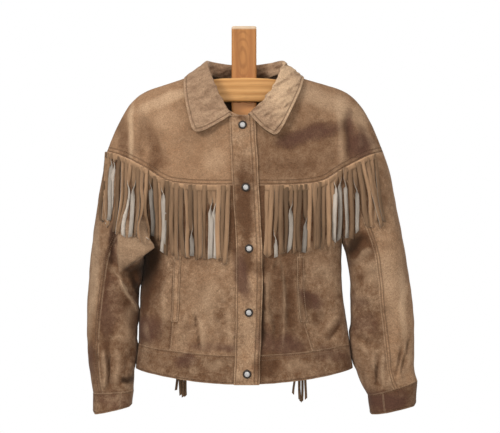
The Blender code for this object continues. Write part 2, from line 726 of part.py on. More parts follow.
def build_waistband():
    half = SHARP_GAP / 2

    def band(turn_of_column, columns):
        grid = []
        for base, rise in ((WAIST_Z, WAIST_RISE), (HEM_Z, HEM_RISE)):
            row = []
            for column in columns:
                def height(turn):
                    return body_edge_z(turn, base, rise)

                turn = fixed_turn(lambda z: turn_of_column(column, z),
                                  turn_of_column(column, base), height)
                row.append(torso(turn, height(turn)))
            grid.append(row)
        return grid

    front_columns = spread(0, 1, CENTRE_COLUMNS) + side_spread()[1:]
    grids = []
    for side, name in ((-1, "left"), (1, "right")):
        grid = band(front_turn(side), front_columns)
        cloth(f"waistband_{name}", pulled_in(grid, top=half, left=half, right=half),
              DARK_SUEDE, DOUBLE)
        grids.append(grid)
    grid = band(back_turn, back_columns())
    cloth("waistband_back", pulled_in(grid, top=half, left=half, right=half), DARK_SUEDE, DOUBLE)
    return grids + [grid]


def build_placket(surface):
    grid = []
    for z in spread(PLACKET[0].z, HEM_Z, PLACKET_ROWS):
        edges = along(PLACKET, z)
        grid.append([laid_on(x, z, surface, LAY + DOUBLE / 2)
                     for x in spread(edges.left, edges.right, 3)])
    cloth("placket", grid, SUEDE, DOUBLE)
    return grid


def outer_face(grid):
    """The outer face of a double piece that lies on the front."""
    return [[point - Vector((0, DOUBLE / 2, 0)) for point in row] for row in grid]


def build_welts(surface):
    for side, name in ((-1, "left"), (1, "right")):
        grid = []
        for z in spread(WELT_TOP, WELT_BOTTOM, 6):
            seam = along(POCKET_SEAM, z)
            x = -seam.left if side < 0 else seam.right
            grid.append([laid_on(x + dx, z, surface, LAY)
                         for dx in (-WELT_WIDTH / 2, WELT_WIDTH / 2)])
        cloth(f"pocket_welt_{name}", grid)


def turned(name, profile, centre, color, roughness, metallic):
    """A turned piece whose axis faces forward: profile rows are (radius, height)."""
    built = bmesh.new()
    verts = [built.verts.new((radius, 0, height)) for radius, height in profile]
    for a, b in zip(verts, verts[1:]):
        built.edges.new((a, b))
    if profile[0][0] > 0:
        built.edges.new((verts[-1], verts[0]))
    mesh = bpy.data.meshes.new(name)
    built.to_mesh(mesh)
    built.free()
    obj = link_mesh(name, mesh, color, roughness, metallic)
    spin = obj.modifiers.new("spin", "SCREW")
    spin.steps = spin.render_steps = 12
    spin.use_merge_vertices = True
    spin.merge_threshold = 0.00001
    obj.rotation_euler = (math.pi / 2, 0, 0)
    obj.location = centre
    return obj


def build_snaps(surface):
    radius, cap, height = SNAP_RADIUS, SNAP_CAP_RADIUS, SNAP_HEIGHT
    inner = cap + GAP
    ring = [(inner, height * 0.8), (radius * 0.88, height * 0.8), (radius, height * 0.3),
            (radius, 0), (inner, 0)]
    dome = [(0, height * 1.25), (cap * 0.6, height * 1.15), (cap, height * 0.75), (cap, 0), (0, 0)]
    for number, z in enumerate(SNAP_HEIGHTS, 1):
        edges = along(PLACKET, z)
        x = 0.5 * (edges.left + edges.right)
        places = [laid_on(x + dx * radius, z + dz * radius, surface, GAP)
                  for dx, dz in ((0, 0), (1, 0), (-1, 0), (0, 1), (0, -1))]
        centre = Vector((x, min(p.y for p in places), z))
        turned(f"snap_ring_{number}", ring, centre, STEEL, 0.4, 1.0)
        turned(f"snap_cap_{number}", dome, centre, PEARL, 0.25, 0.3)


def collar_column(station, side, surface):
    """Points of the collar in one direction: up the stand, over the fold, down the fall."""
    neck = cape(side * math.radians(station.turn), 0.0)
    centre = Vector((0, AXIS_Y, neck.z))
    base = neck + (centre - neck).normalized() * (DOUBLE / 2 + CLOTH / 2 + SHARP_GAP)
    fold = Vector((side * station.fold_x, AXIS_Y + station.fold_y, station.fold_z))
    edge = Vector((side * station.edge_x, AXIS_Y + station.edge_y, station.edge_z))
    out = Vector((edge.x - fold.x, edge.y - fold.y, 0)).normalized()
    points = [lerp(base, fold, i / (STAND_ROWS + 1)) for i in range(STAND_ROWS + 1)]
    points.append(fold - Vector((0, 0, FOLD_RADIUS * 0.7)))
    points.append(fold + out * FOLD_RADIUS)
    shoulder = fold + out * 2 * FOLD_RADIUS - Vector((0, 0, FOLD_RADIUS * 0.8))
    for i in range(FALL_ROWS + 1):
        share = i / FALL_ROWS
        bulge = out * FALL_BULGE * math.sin(math.pi * share)
        clear = lerp(2.2 * LAY, 1.5 * LAY, share)
        points.append(pushed_clear(lerp(shoulder, edge, share) + bulge, surface, clear))
    return points


def build_collar(surface):
    def columns(stations, side):
        count = (len(stations) - 1) * COLLAR_SPANS
        keyed = [(i, *station) for i, station in enumerate(stations)]
        Keyed = namedtuple("Keyed", ("i",) + Station._fields)
        rows = [Keyed(*row) for row in keyed]
        made = []
        for step in range(count + 1):
            row = along(rows, step / COLLAR_SPANS)
            made.append(collar_column(Station(*row[1:]), side, surface))
        return made

    left = columns(COLLAR_LEFT, -1)
    right = columns(COLLAR_RIGHT, 1)
    strips = left[:0:-1] + right
    grid = [list(row) for row in zip(*strips)]
    cloth("collar", grid, PALE_SUEDE, DOUBLE)


# ---- fringe ------------------------------------------------------------------------------------------

def evenly(points, pitch, width):
    """Left and right edge points of strands set out along a line of points."""
    lengths = [0.0]
    for a, b in zip(points, points[1:]):
        lengths.append(lengths[-1] + (b - a).length)
    count = int((lengths[-1] - width) / pitch) + 1
    start = 0.5 * (lengths[-1] - (count - 1) * pitch - width)

    def at(distance):
        i = max(i for i, length in enumerate(lengths[:-1]) if length <= distance + 1e-9)
        return lerp(points[i], points[i + 1],
                    (distance - lengths[i]) / (lengths[i + 1] - lengths[i]))

    return [(at(start + i * pitch), at(start + i * pitch + width)) for i in range(count)]


def fringe(name, line, surface, length, pitch=STRAND_PITCH, width=STRAND_WIDTH,
           ragged=FRINGE_RAGGED, strip_clear=STRIP_CLEAR):
    """A strip along the line with strands hanging from it."""
    strands = evenly(line, pitch, width)
    built = bmesh.new()
    tops, roots = [], []
    for left, right in strands:
        for point in (left, right):
            top = pushed_clear(point - Vector((0, 0, STRIP_DROP)), surface, strip_clear)
            root = pushed_clear(top - Vector((0, 0, STRIP_HEIGHT)), surface, strip_clear)
            tops.append(built.verts.new(top))
            roots.append(built.verts.new(root))
    for i in range(len(tops) - 1):
        built.faces.new((tops[i], roots[i], roots[i + 1], tops[i + 1]))
    for number in range(len(strands)):
        left, right = roots[2 * number], roots[2 * number + 1]
        middle = (left.co + right.co) / 2
        across = (right.co - left.co) / 2
        across.z = 0
        across = across.normalized() * width / 2
        drop = length + ragged * math.sin(number * 2.4)
        edge = (left, right)
        for row in range(1, STRAND_ROWS + 1):
            fall = drop * row / STRAND_ROWS
            target = Vector((middle.x, middle.y, left.co.z - fall))
            clear = STRAND_CLEAR + STRAND_SPREAD * row * (0.6 + 0.4 * math.sin(number * 1.7))
            middle = hung_clear(middle, target, across, surface, clear)
            lower = (built.verts.new(middle - across), built.verts.new(middle + across))
            built.faces.new((edge[0], lower[0], lower[1], edge[1]))
            edge = lower
    mesh = bpy.data.meshes.new(name)
    built.to_mesh(mesh)
    built.free()
    obj = link_mesh(name, mesh, SUEDE)
    wall = obj.modifiers.new("wall", "SOLIDIFY")
    wall.thickness = CLOTH
    wall.offset = 0.0
    return obj


def line_between(first, last, count=60):
    return [cape(turn, 1.0) for turn in spread(first, last, count)]


def build_fringe(surface):
    placket = along(PLACKET, CAPE[-1].front_z)
    half = CAPE[-1].reach
    left_start = turn_at(placket.left - CLEAR_OF_PLACKET_LEFT, half, PLAN_POWER)
    right_start = turn_at(placket.right + CLEAR_OF_PLACKET_RIGHT, half, PLAN_POWER)
    body_end, cap_start = F_TURN - CLEAR_OF_CORNER, F_TURN + CLEAR_OF_CORNER
    left_end = turn_at(SLEEVE_END_LEFT, half, PLAN_POWER)
    right_end = turn_at(SLEEVE_END_RIGHT, half, PLAN_POWER)
    fringe("fringe_front_left", line_between(-body_end, left_start), surface,
           FRONT_LENGTH_LEFT)
    fringe("fringe_front_right", line_between(right_start, body_end), surface,
           FRONT_LENGTH_RIGHT)
    fringe("fringe_sleeve_left", line_between(-left_end, -cap_start), surface,
           SLEEVE_LENGTH_LEFT)
    fringe("fringe_sleeve_right", line_between(cap_start, right_end), surface,
           SLEEVE_LENGTH_RIGHT)
    tip = math.pi / 2 + CLEAR_OF_TIP
    fringe("fringe_back", line_between(tip, 2 * math.pi - tip, 160), surface, BACK_LENGTH)
    for tassel in TASSELS:
        line = [laid_on(tassel.x + dx, WAIST_Z + TASSEL_ABOVE_SEAM, surface, LAY + 2 * GAP,
                        from_back=True)
                for dx in spread(-TASSEL_HALF_WIDTH, TASSEL_HALF_WIDTH, 4)]
        fringe(tassel.name, line, surface, tassel.length, TASSEL_PITCH, TASSEL_STRAND_WIDTH,
               TASSEL_RAGGED, STRIP_CLEAR + (DOUBLE - CLOTH) / 2)


# ---- hanger ---------------------------------------------------------------------------------------------

def bevelled(name, mesh, color, width, segments=2):
    obj = link_mesh(name, mesh, color, 0.5)
    round_edge = obj.modifiers.new("rounded", "BEVEL")
    round_edge.width = width
    round_edge.segments = segments
    return obj


def build_hanger():
    built = bmesh.new()
    bmesh.ops.create_cube(built, size=1.0)
    for vertex in built.verts:
        vertex.co.x *= UPRIGHT_WIDTH
        vertex.co.y *= UPRIGHT_DEPTH
        vertex.co.z = (vertex.co.z - 0.5) * UPRIGHT_LENGTH
    mesh = bpy.data.meshes.new("upright")
    built.to_mesh(mesh)
    built.free()
    bevelled("upright", mesh, OAK, 0.004, 3)

    half = [along(BAR, x) for x in spread(0, BAR[-1].x, BAR_SPANS)]
    top = [(-b.x, b.top) for b in reversed(half)] + [(b.x, b.top) for b in half[1:]]
    bottom = [(b.x, b.bottom) for b in reversed(half)] + [(-b.x, b.bottom) for b in half[1:]]
    back_y = -UPRIGHT_DEPTH / 2 - GAP
    built = bmesh.new()
    outline = [built.verts.new((x, back_y, z)) for x, z in top + bottom]
    face = built.faces.new(outline)
    moved = bmesh.ops.extrude_face_region(built, geom=[face])["geom"]
    for vertex in (v for v in moved if isinstance(v, bmesh.types.BMVert)):
        vertex.co.y -= BAR_DEPTH
    bmesh.ops.recalc_face_normals(built, faces=built.faces)
    mesh = bpy.data.meshes.new("crossbar")
    built.to_mesh(mesh)
    built.free()
    bevelled("crossbar", mesh, PINE, 0.003)


def main():
    clear_scene()
    bpy.context.scene.collection.children.link(bpy.data.collections.new("fringed_jacket"))
    body = build_body()
    sleeves = build_sleeves()
    waist = build_waistband()
    front = surface_of(body + waist)
    placket = build_placket(front)
    build_snaps(surface_of([outer_face(placket)]))
    build_welts(front)
    build_collar(surface_of(body))
    build_fringe(surface_of(body + sleeves + waist))
    build_hanger()


main()
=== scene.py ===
"""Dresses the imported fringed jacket: creased suede, cut fringe, stitching, snaps and wood.

It is laid out as an add-on and run as a script. Metres, +Z up, the front faces -Y;
"left" is -X. Tables of creases, stains and stitches are in millimetres.
"""

import math
from collections import namedtuple

import bmesh
import bpy
import numpy as np
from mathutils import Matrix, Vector
from mathutils.bvhtree import BVHTree
from mathutils.kdtree import KDTree


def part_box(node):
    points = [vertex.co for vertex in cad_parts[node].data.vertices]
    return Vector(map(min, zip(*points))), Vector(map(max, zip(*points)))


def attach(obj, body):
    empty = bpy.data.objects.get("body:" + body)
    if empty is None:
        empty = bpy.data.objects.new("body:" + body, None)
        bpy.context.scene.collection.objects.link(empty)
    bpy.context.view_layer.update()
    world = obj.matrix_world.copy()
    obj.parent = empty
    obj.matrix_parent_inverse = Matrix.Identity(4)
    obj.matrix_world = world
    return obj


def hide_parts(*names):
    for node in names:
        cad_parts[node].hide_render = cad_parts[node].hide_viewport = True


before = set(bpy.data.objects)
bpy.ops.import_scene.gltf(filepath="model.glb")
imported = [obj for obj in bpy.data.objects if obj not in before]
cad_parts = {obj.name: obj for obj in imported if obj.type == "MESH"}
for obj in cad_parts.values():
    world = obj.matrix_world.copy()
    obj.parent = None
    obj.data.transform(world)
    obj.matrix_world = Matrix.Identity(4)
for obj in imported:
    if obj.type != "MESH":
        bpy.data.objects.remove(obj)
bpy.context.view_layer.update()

bl_info = {
    "name": "Fringed Suede Jacket",
    "version": (1, 0, 0),
    "blender": (4, 5, 0),
    "location": "3D View > Sidebar > Jacket",
    "description": "Dresses a fringed suede jacket on a wooden cross hanger",
    "category": "Object",
}

MM = 0.001
AXIS_Y = -0.020             # the jacket's middle plane
SINGLE, DOUBLE = 0.0016, 0.0024     # walls of one layer of suede and of two
STRAND_WALL = 0.0013
MERGE, RIM_TOLERANCE = 1e-5, 2e-5
LINE_PITCH = 0.0015         # of the points that stand for a panel's side
LEFT, RIGHT = -1, 1
FRONT, BACK = -1, 1         # the ways out of the cloth, along Y

# ---- creases, in millimetres -----------------------------------------------------------
# A crease runs from (x0, z0) to (x1, z1); height below 0 is a trough; lean makes one
# flank steeper: above 0 the right one, looking down the crease.

Crease = namedtuple("Crease", "x0 z0 x1 z1 width height lean")


def crease_table(rows):
    return [Crease(*row) for row in rows]


FRONT_CREASES = crease_table([
    (-214, -140, -216, -268, 8.8, 3.6, -0.3), (-192, -150, -166, -278, 14.5, -3.2, 0),
    (-159, -187, -147, -251, 9.8, 1.6, 0), (-109, -145, -127, -194, 7.8, -1.0, 0),
    (-130, -176, -117, -247, 11.7, 1.0, 0), (-60, -229, -41, -297, 13.7, -1.0, 0),
    (186, -160, 187, -285, 8.2, 3.6, 0), (201, -164, 199, -266, 8.8, -3.8, 0.5),
    (214, -179, 226, -247, 7.8, 1.8, 0), (173, -198, 178, -278, 7.8, -1.4, 0),
    (99, -176, 163, -164, 7.8, 0.9, 0), (106, -206, 186, -193, 9.8, -0.9, 0),
    (69, -229, 106, -285, 11.7, 0.9, 0), (34, -229, 50, -301, 9.8, -0.8, 0),
    (-93, -548, -82, -634, 3.0, -3.0, -0.3), (-86, -556, -75, -632, 6.4, 3.0, 0),
    (-109, -569, -108, -626, 9.8, -1.0, 0), (-43, -509, -41, -628, 11.7, -1.2, 0),
    (-62, -471, -58, -615, 15.6, 1.4, 0), (-26, -532, -26, -630, 6.8, 1.6, 0),
    (-117, -460, -113, -554, 9.8, -0.9, 0), (74, -452, 76, -630, 6.8, 3.6, -0.4),
    (63, -460, 67, -630, 9.8, -3.6, 0), (87, -460, 91, -621, 9.8, -2.2, 0),
    (46, -460, 48, -592, 9.8, 1.6, 0), (33, -460, 34, -626, 6.8, -2.2, 0),
    (101, -460, 106, -607, 5.8, 1.4, 0), (53, -569, 57, -630, 5.8, 1.2, 0),
    (194, -562, 158, -616, 4.6, -3.4, 0.4), (186, -552, 150, -604, 6.4, 2.4, 0),
    (118, -513, 146, -585, 8.2, -2.4, 0.3), (135, -532, 148, -585, 7.8, 1.6, 0),
    (165, -452, 173, -532, 15.6, 1.5, 0), (129, -588, 163, -603, 7.8, -1.0, 0),
    (-159, -456, -183, -566, 13.7, -3.8, 0), (-178, -532, -157, -619, 11.7, -1.8, 0),
    (-138, -460, -157, -588, 11.7, 1.8, 0), (-191, -566, -178, -620, 7.8, 1.2, 0),
    (-159, -630, -153, -662, 5.8, 0.8, 0), (-128, -634, -125, -668, 5.8, -0.9, 0),
    (-98, -634, -100, -672, 6.8, 0.9, 0), (-60, -638, -56, -679, 5.8, -0.7, 0),
    (59, -641, 61, -687, 5.8, -0.8, 0), (89, -638, 87, -681, 5.8, 0.9, 0),
    (123, -630, 127, -672, 5.8, -0.9, 0), (159, -622, 163, -664, 6.8, 0.9, 0),
    (184, -619, 188, -660, 5.8, -0.8, 0),
])
BACK_CREASES = crease_table([
    (-206, -150, -203, -262, 9, 2.0, 0), (-186, -168, -176, -268, 12, -2.4, 0),
    (206, -152, 203, -258, 9, 2.2, 0), (188, -165, 178, -270, 12, -2.6, 0),
    (-92, -128, -118, -215, 11, -1.4, 0), (-70, -150, -86, -250, 13, 1.2, 0),
    (88, -130, 112, -210, 11, -1.3, 0), (52, -165, 60, -270, 13, 1.1, 0),
    (-30, -185, -12, -290, 15, -1.0, 0), (-124, -448, -116, -634, 10, 2.8, 0),
    (-104, -470, -98, -634, 9, -2.2, 0.3), (-66, -452, -58, -630, 12, 1.6, 0),
    (-34, -478, -37, -634, 7, -2.6, -0.4), (-8, -450, -4, -620, 13, 1.4, 0),
    (26, -500, 30, -636, 6, -2.4, 0.4), (48, -450, 52, -632, 10, 2.4, 0),
    (83, -490, 80, -634, 8, -1.8, 0), (112, -455, 116, -632, 10, 2.2, 0),
    (140, -520, 134, -634, 7, -2.4, 0.3), (168, -540, 150, -610, 8, -2.6, 0.4),
    (-166, -530, -148, -606, 9, -2.8, -0.4), (-180, -555, -162, -620, 8, 1.8, 0),
    (-140, -632, -136, -668, 5, -0.9, 0), (-92, -634, -94, -672, 6, 0.9, 0),
    (-42, -634, -40, -676, 5, -0.8, 0), (14, -634, 16, -678, 6, 0.8, 0),
    (66, -634, 64, -676, 5, -0.9, 0), (118, -632, 121, -670, 6, 0.9, 0),
    (160, -628, 162, -664, 5, -0.8, 0),
])
LEFT_SLEEVE_CREASES = crease_table([
    (-241, -485, -196, -569, 3.8, 6.2, -0.5), (-231, -484, -190, -560, 5.5, -3.6, 0),
    (-225, -464, -194, -533, 9.8, -4.0, 0), (-166, -441, -232, -497, 8.8, -5.0, 0),
    (-187, -424, -166, -433, 4.9, -3.0, 0), (-217, -411, -179, -418, 7.8, 1.2, 0),
    (-247, -403, -250, -475, 6.0, -3.4, 0), (-261, -612, -261, -712, 3.0, -3.0, 0.3),
    (-268, -622, -267, -708, 5.0, 3.2, -0.5), (-242, -624, -246, -704, 7.8, 1.8, 0),
    (-227, -632, -229, -700, 5.8, -1.8, 0), (-221, -533, -217, -628, 11.7, 1.8, 0),
    (-251, -514, -259, -618, 11.7, -1.2, 0), (-292, -586, -280, -620, 5.8, -1.2, 0),
    (-295, -628, -282, -655, 5.8, -1.3, 0), (-286, -533, -282, -582, 5.8, 0.8, 0),
    (-280, -418, -290, -533, 7.8, -0.9, 0), (-211, -590, -217, -659, 7.8, -1.8, 0),
])
RIGHT_SLEEVE_CREASES = crease_table([
    (195, -447, 239, -414, 9.8, -4.8, 0), (201, -466, 248, -432, 8.8, 2.6, 0),
    (212, -506, 252, -472, 9.8, -2.0, 0), (206, -533, 248, -525, 11.7, 1.2, 0),
    (257, -622, 258, -712, 3.0, -3.0, -0.3), (265, -626, 267, -706, 5.0, 3.2, 0.5),
    (322, -600, 297, -688, 3.2, -3.8, 0.3), (306, -615, 289, -682, 3.2, -3.0, 0.3),
    (315, -612, 300, -690, 4.4, 2.8, -0.4), (242, -618, 252, -674, 5.8, 2.2, 0),
    (231, -605, 248, -636, 5.8, -1.8, 0), (281, -643, 294, -685, 5.1, -2.0, 0),
    (218, -552, 256, -577, 11.7, -1.6, 0), (212, -597, 246, -620, 7.8, -2.4, 0),
    (214, -613, 241, -639, 7.8, 1.8, 0), (294, -453, 283, -533, 13.7, 1.2, 0),
    (269, -533, 283, -609, 13.7, -1.2, 0), (231, -647, 233, -700, 5.8, -1.4, 0),
    (283, -670, 279, -708, 5.8, 1.2, 0),
])
# The backs of the sleeves, for the left one; the right one has them mirrored.
SLEEVE_BACK_CREASES = crease_table([
    (-205, -420, -262, -470, 11, -3.4, 0), (-212, -448, -270, -505, 9, 2.4, 0),
    (-214, -490, -276, -534, 8, -3.0, 0.4), (-222, -530, -284, -552, 9, 1.8, 0),
    (-216, -560, -268, -588, 8, -1.8, 0), (-246, -600, -250, -708, 5, -3.0, 0),
    (-268, -615, -266, -706, 5, -2.6, 0.3), (-257, -620, -258, -704, 5, 1.8, 0),
    (-230, -636, -234, -702, 6, -1.6, 0), (-284, -630, -280, -704, 6, 1.6, 0),
    (-240, -330, -268, -400, 14, 1.4, 0),
])

# The fold of cloth over the left elbow: it stands proud between FLAP_LEFT and FLAP_RIGHT
# and above the line from FLAP_TIP to FLAP_CORNER.
FLAP_LEFT, FLAP_RIGHT = -240.0, -158.0
FLAP_TIP, FLAP_CORNER = (-241.0, -486.0), (-166.0, -433.0)
FLAP_HEIGHT, FLAP_TOP = 9.0, -372.0
# How far the fold hangs over towards the body, by height.
FLAP_REACH = [(-372, 0), (-400, 10), (-425, 34), (-440, 42), (-455, 36), (-470, 24),
              (-485, 16), (-500, 12), (-535, 9), (-565, 12), (-600, 6), (-640, 4), (-700, 0)]
CREASE_DEPTH = 1.85         # every crease is this many times as deep as its row says
# Where the sleeves touch the body, by height: how far each one leans towards it.
LEFT_TOUCH = [(-420, 0), (-438, 3.4), (-498, 3.4), (-512, 0), (-545, 0), (-555, 2.6),
              (-576, 2.6), (-588, 0), (-612, 0), (-622, 3.4), (-656, 3.4), (-672, 0)]
RIGHT_TOUCH = [(-584, 0), (-598, 3.6), (-660, 4.2), (-674, 0)]

# ---- stains, wear and painted light and shade, in millimetres --------------------------
# A patch lies round (x, z) and fades out a little beyond its reach across and down; turn
# leans its top to the left, in degrees, and amount is its strength. "light" patches are
# rubbed nap and painted highlights on ridges and lit edges; "dark" patches are stains and
# painted shade in hollows, under the arms, beside ridges and under the collar; "purple"
# patches are cooler stains. "deep" patches are painted shade in the hollows that hardly
# any light reaches.

Patch = namedtuple("Patch", "kind x z across down turn amount")


def patch_table(**kinds):
    return [Patch(kind, *row) for kind, rows in kinds.items() for row in rows]


FRONT_PATCHES = patch_table(
    light=[
        (-55, -266, 27, 30, 0, 0.35), (-149, -187, 47, 28, 0, 0.3),
        (-150, -146, 58, 13, 20, 0.6), (247, -232, 8, 44, 25, 0.6),
        (190, -164, 16, 28, 10, 0.65), (184, -212, 7, 58, 0, 0.5), (-217, -215, 7, 72, 1, 0.65),
        (-196, -185, 12, 45, 0, 0.25), (140, -142, 70, 22, -22, 0.65),
        (82, -168, 20, 26, 0, 0.3), (160, -262, 26, 24, 0, 0.25), (224, -180, 22, 24, 35, 0.6),
        (12, -588, 17, 49, 0, 0.35), (-2, -674, 19, 15, 0, 0.25), (-117, -596, 18, 22, 0, 0.3),
        (-144, -509, 11, 45, 4, 0.2), (-72, -528, 32, 42, 0, 0.3), (140, -478, 28, 30, 0, 0.3),
        (156, -541, 11, 27, 0, 0.15), (-159, -649, 27, 11, 0, 0.12),
        (-58, -656, 21, 10, 0, 0.55), (-18, -668, 13, 13, 0, 0.3), (108, -654, 32, 12, 0, 0.4)],
    dark=[
        (-176, -228, 13, 62, 24, 0.52), (-173, -274, 13, 22, 0, 0.7),
        (-197, -238, 8, 40, 0, 0.45), (-22, -247, 8, 57, 0, 0.2), (110, -250, 95, 50, 0, 0.25),
        (96, -226, 34, 17, 20, 0.5), (158, -206, 36, 18, 8, 0.55), (214, -232, 22, 30, 0, 0.55),
        (-233, -222, 13, 52, 8, 0.6), (-150, -262, 10, 18, 40, 0.25), (78, -282, 57, 19, 0, 0.3),
        (0, -352, 22, 90, 0, 0.95), (8, -456, 12, 34, 0, 0.8), (-4, -189, 15, 7, 0, 0.75),
        (-192, -545, 13, 62, -5, 0.9), (-95, -600, 9, 22, 8, 0.18), (108, -505, 4, 60, 0, 0.5),
        (-184, -468, 26, 54, 6, 1.0), (-184, -607, 22, 14, 0, 0.6), (-149, -592, 17, 30, 0, 0.4),
        (-92, -460, 34, 9, 0, 0.3), (90, -540, 10, 90, 0, 0.45), (34, -467, 15, 19, 0, 0.6),
        (117, -532, 9, 16, 0, 0.7), (140, -566, 11, 17, 0, 0.6), (175, -585, 7, 26, -30, 0.45),
        (137, -545, 8, 30, 30, 0.45), (-106, -657, 13, 12, 0, 0.7), (42, -658, 22, 26, 0, 0.95),
        (195, -653, 11, 17, 0, 0.55)],
    purple=[
        (-236, -232, 15, 23, 0, 0.3), (130, -214, 66, 17, 14, 0.8), (204, -214, 9, 50, 0, 0.85),
        (226, -234, 24, 32, 0, 0.9), (87, -229, 23, 13, 10, 0.5), (-2, -488, 13, 49, 8, 1.0),
        (-183, -592, 25, 32, 0, 0.85), (-74, -619, 49, 11, 0, 0.5), (-28, -622, 19, 11, 0, 0.6),
        (38, -603, 15, 30, 0, 0.75), (82, -617, 38, 22, 0, 0.8), (127, -530, 27, 13, -38, 0.85),
        (-109, -649, 23, 15, 0, 0.8), (167, -638, 38, 15, 0, 0.6)],
    deep=[
        (-184, -464, 23, 62, -14, 1.0), (-87, -594, 1.5, 32, 7, 0.6), (62, -462, 5, 10, 0, 0.5),
        (52, -560, 3, 60, 2, 0.35), (36, -548, 5, 98, 0, 1.0), (74, -502, 3, 60, 0, 0.4)])
BACK_PATCHES = patch_table(
    light=[
        (-60, -190, 60, 34, 0, 0.3), (30, -260, 40, 24, 0, 0.2), (-20, -545, 34, 46, 0, 0.3),
        (104, -560, 22, 44, 0, 0.25), (40, -658, 24, 10, 0, 0.25)],
    dark=[
        (92, -172, 46, 22, -14, 0.6), (-150, -240, 30, 34, 0, 0.4), (-60, -480, 48, 40, 0, 0.35),
        (140, -510, 30, 60, 6, 0.6), (10, -622, 60, 12, 0, 0.4), (112, -650, 34, 14, 0, 0.6),
        (-150, -652, 24, 14, 0, 0.5)],
    purple=[
        (110, -235, 52, 13, -10, 0.8), (-196, -220, 12, 44, 0, 0.6),
        (-120, -590, 34, 40, 12, 0.75), (66, -606, 26, 30, 0, 0.7), (-64, -655, 30, 14, 0, 0.7)])
LEFT_SLEEVE_PATCHES = patch_table(
    light=[
        (-290, -490, 12, 110, -4, 0.85), (-225, -594, 15, 57, 0, 0.15),
        (-202, -424, 32, 15, 0, 0.35), (-221, -524, 2.6, 46, 28, 1.0)],
    dark=[
        (-290, -650, 16, 50, 0, 0.45), (-262, -490, 8, 92, -9, 0.8),
        (-221, -560, 14, 36, 12, 0.9), (-266, -602, 10, 30, 0, 0.8),
        (-206, -533, 10, 46, -18, 0.55), (-264, -662, 7, 38, 0, 0.2),
        (-200, -500, 13, 40, 28, 0.8)],
    purple=[
        (-293, -651, 10, 34, 0, 0.6), (-255, -533, 23, 57, 4, 0.5), (-265, -575, 11, 38, 0, 0.5),
        (-246, -424, 9, 34, 0, 1.0), (-255, -727, 46, 19, 0, 0.55)],
    deep=[
        (-225, -687, 9, 8, 20, 0.95), (-196, -468, 30, 12, 35, 0.95),
        (-205, -514, 6, 48, 26, 0.95), (-248, -424, 6, 36, -6, 0.85),
        (-261, -664, 1.5, 34, 0, 0.6), (-196, -640, 6, 40, 0, 0.6)])
RIGHT_SLEEVE_PATCHES = patch_table(
    light=[
        (258, -480, 22, 38, 0, 0.4), (318, -640, 6, 40, -15, 0.4), (208, -498, 15, 27, 0, 0.2),
        (284, -517, 20, 95, 0, 0.32), (307, -540, 9, 84, 3, 0.6), (238, -482, 10, 18, 0, 0.4)],
    dark=[
        (229, -424, 22, 28, 0, 0.95), (256, -599, 11, 19, 0, 0.5), (213, -453, 9, 16, 0, 0.9),
        (275, -430, 23, 11, 0, 0.3), (251, -660, 7, 38, 0, 0.2), (302, -638, 7, 32, -20, 0.35),
        (262, -330, 26, 70, 0, 0.5), (269, -727, 53, 23, 0, 0.7)],
    purple=[
        (225, -535, 23, 17, 0, 0.55), (231, -582, 27, 25, 0, 0.65), (269, -727, 53, 19, 0, 0.95)],
    deep=[
        (209, -428, 12, 24, -14, 0.95), (257, -672, 2.0, 30, 0, 0.55),
        (309, -642, 1.6, 34, -15, 0.4), (206, -545, 5, 60, 0, 0.45)])
SLEEVE_BACK_PATCHES = patch_table(
    light=[(-232, -520, 16, 60, 0, 0.25), (-262, -360, 20, 50, 0, 0.25)],
    dark=[(-236, -440, 34, 40, 20, 0.55), (-250, -672, 26, 30, 0, 0.45)],
    purple=[(-262, -560, 22, 60, 0, 0.6), (-252, -728, 40, 16, 0, 0.5)])

COLLAR_FRONT_PATCHES = patch_table(
    light=[(66, -112, 46, 86, 10, 0.86), (-76, -118, 12, 40, -10, 0.25)],
    dark=[(-72, -128, 44, 60, 0, 0.32), (-52, -80, 16, 14, 0, 0.3)])
COLLAR_BACK_PATCHES = patch_table(
    light=[(60, -84, 12, 8, 0, 0.4)],
    dark=[(-40, -96, 26, 9, 12, 0.85), (38, -92, 24, 10, -10, 0.8), (0, -88, 20, 6, 0, 0.5)],
    deep=[(-30, -100, 60, 10, 0, 0.55), (46, -98, 30, 8, 0, 0.45)])

FRINGE_SHADE = 0.70         # painted shade: how much darker the cloth under the fringe is made
FRINGE_REACH = 250.0        # how far from the middle the sleeves' fringe covers them

# How much darker each panel is made as a whole, beyond its stains.
SKIN_TONES = {"yoke_front_left": 0.06, "yoke_front_right": 0.42, "pocket_welt_right": 0.5,
              "front_left": 0.36, "front_right": 0.68, "side_front_left": 0.32,
              "side_front_right": 0.28, "back": 0.15, "sleeve_left_upper": 0.46,
              "sleeve_left_under": 0.44, "sleeve_right_under": 0.36, "cuff_left": 0.38,
              "cuff_right": 0.62, "waistband_left": 0.50, "waistband_right": 0.42,
              "waistband_back": 0.30}

# How much smoother than the others a panel's nap is.
SKIN_CALM = {"yoke_front_left": 0.60, "yoke_front_right": 0.40, "yoke_back": 0.50,
             "collar": 0.50, "sleeve_right_upper": 0.25, "sleeve_left_upper": 0.20}

# ---- pieces ----------------------------------------------------------------------------
# The cut of each panel: width and length in millimetres, the share of that box that it
# fills, its slot, its wall, how often its mesh is divided, and its stitched sides with each
# row's distance from the edge.

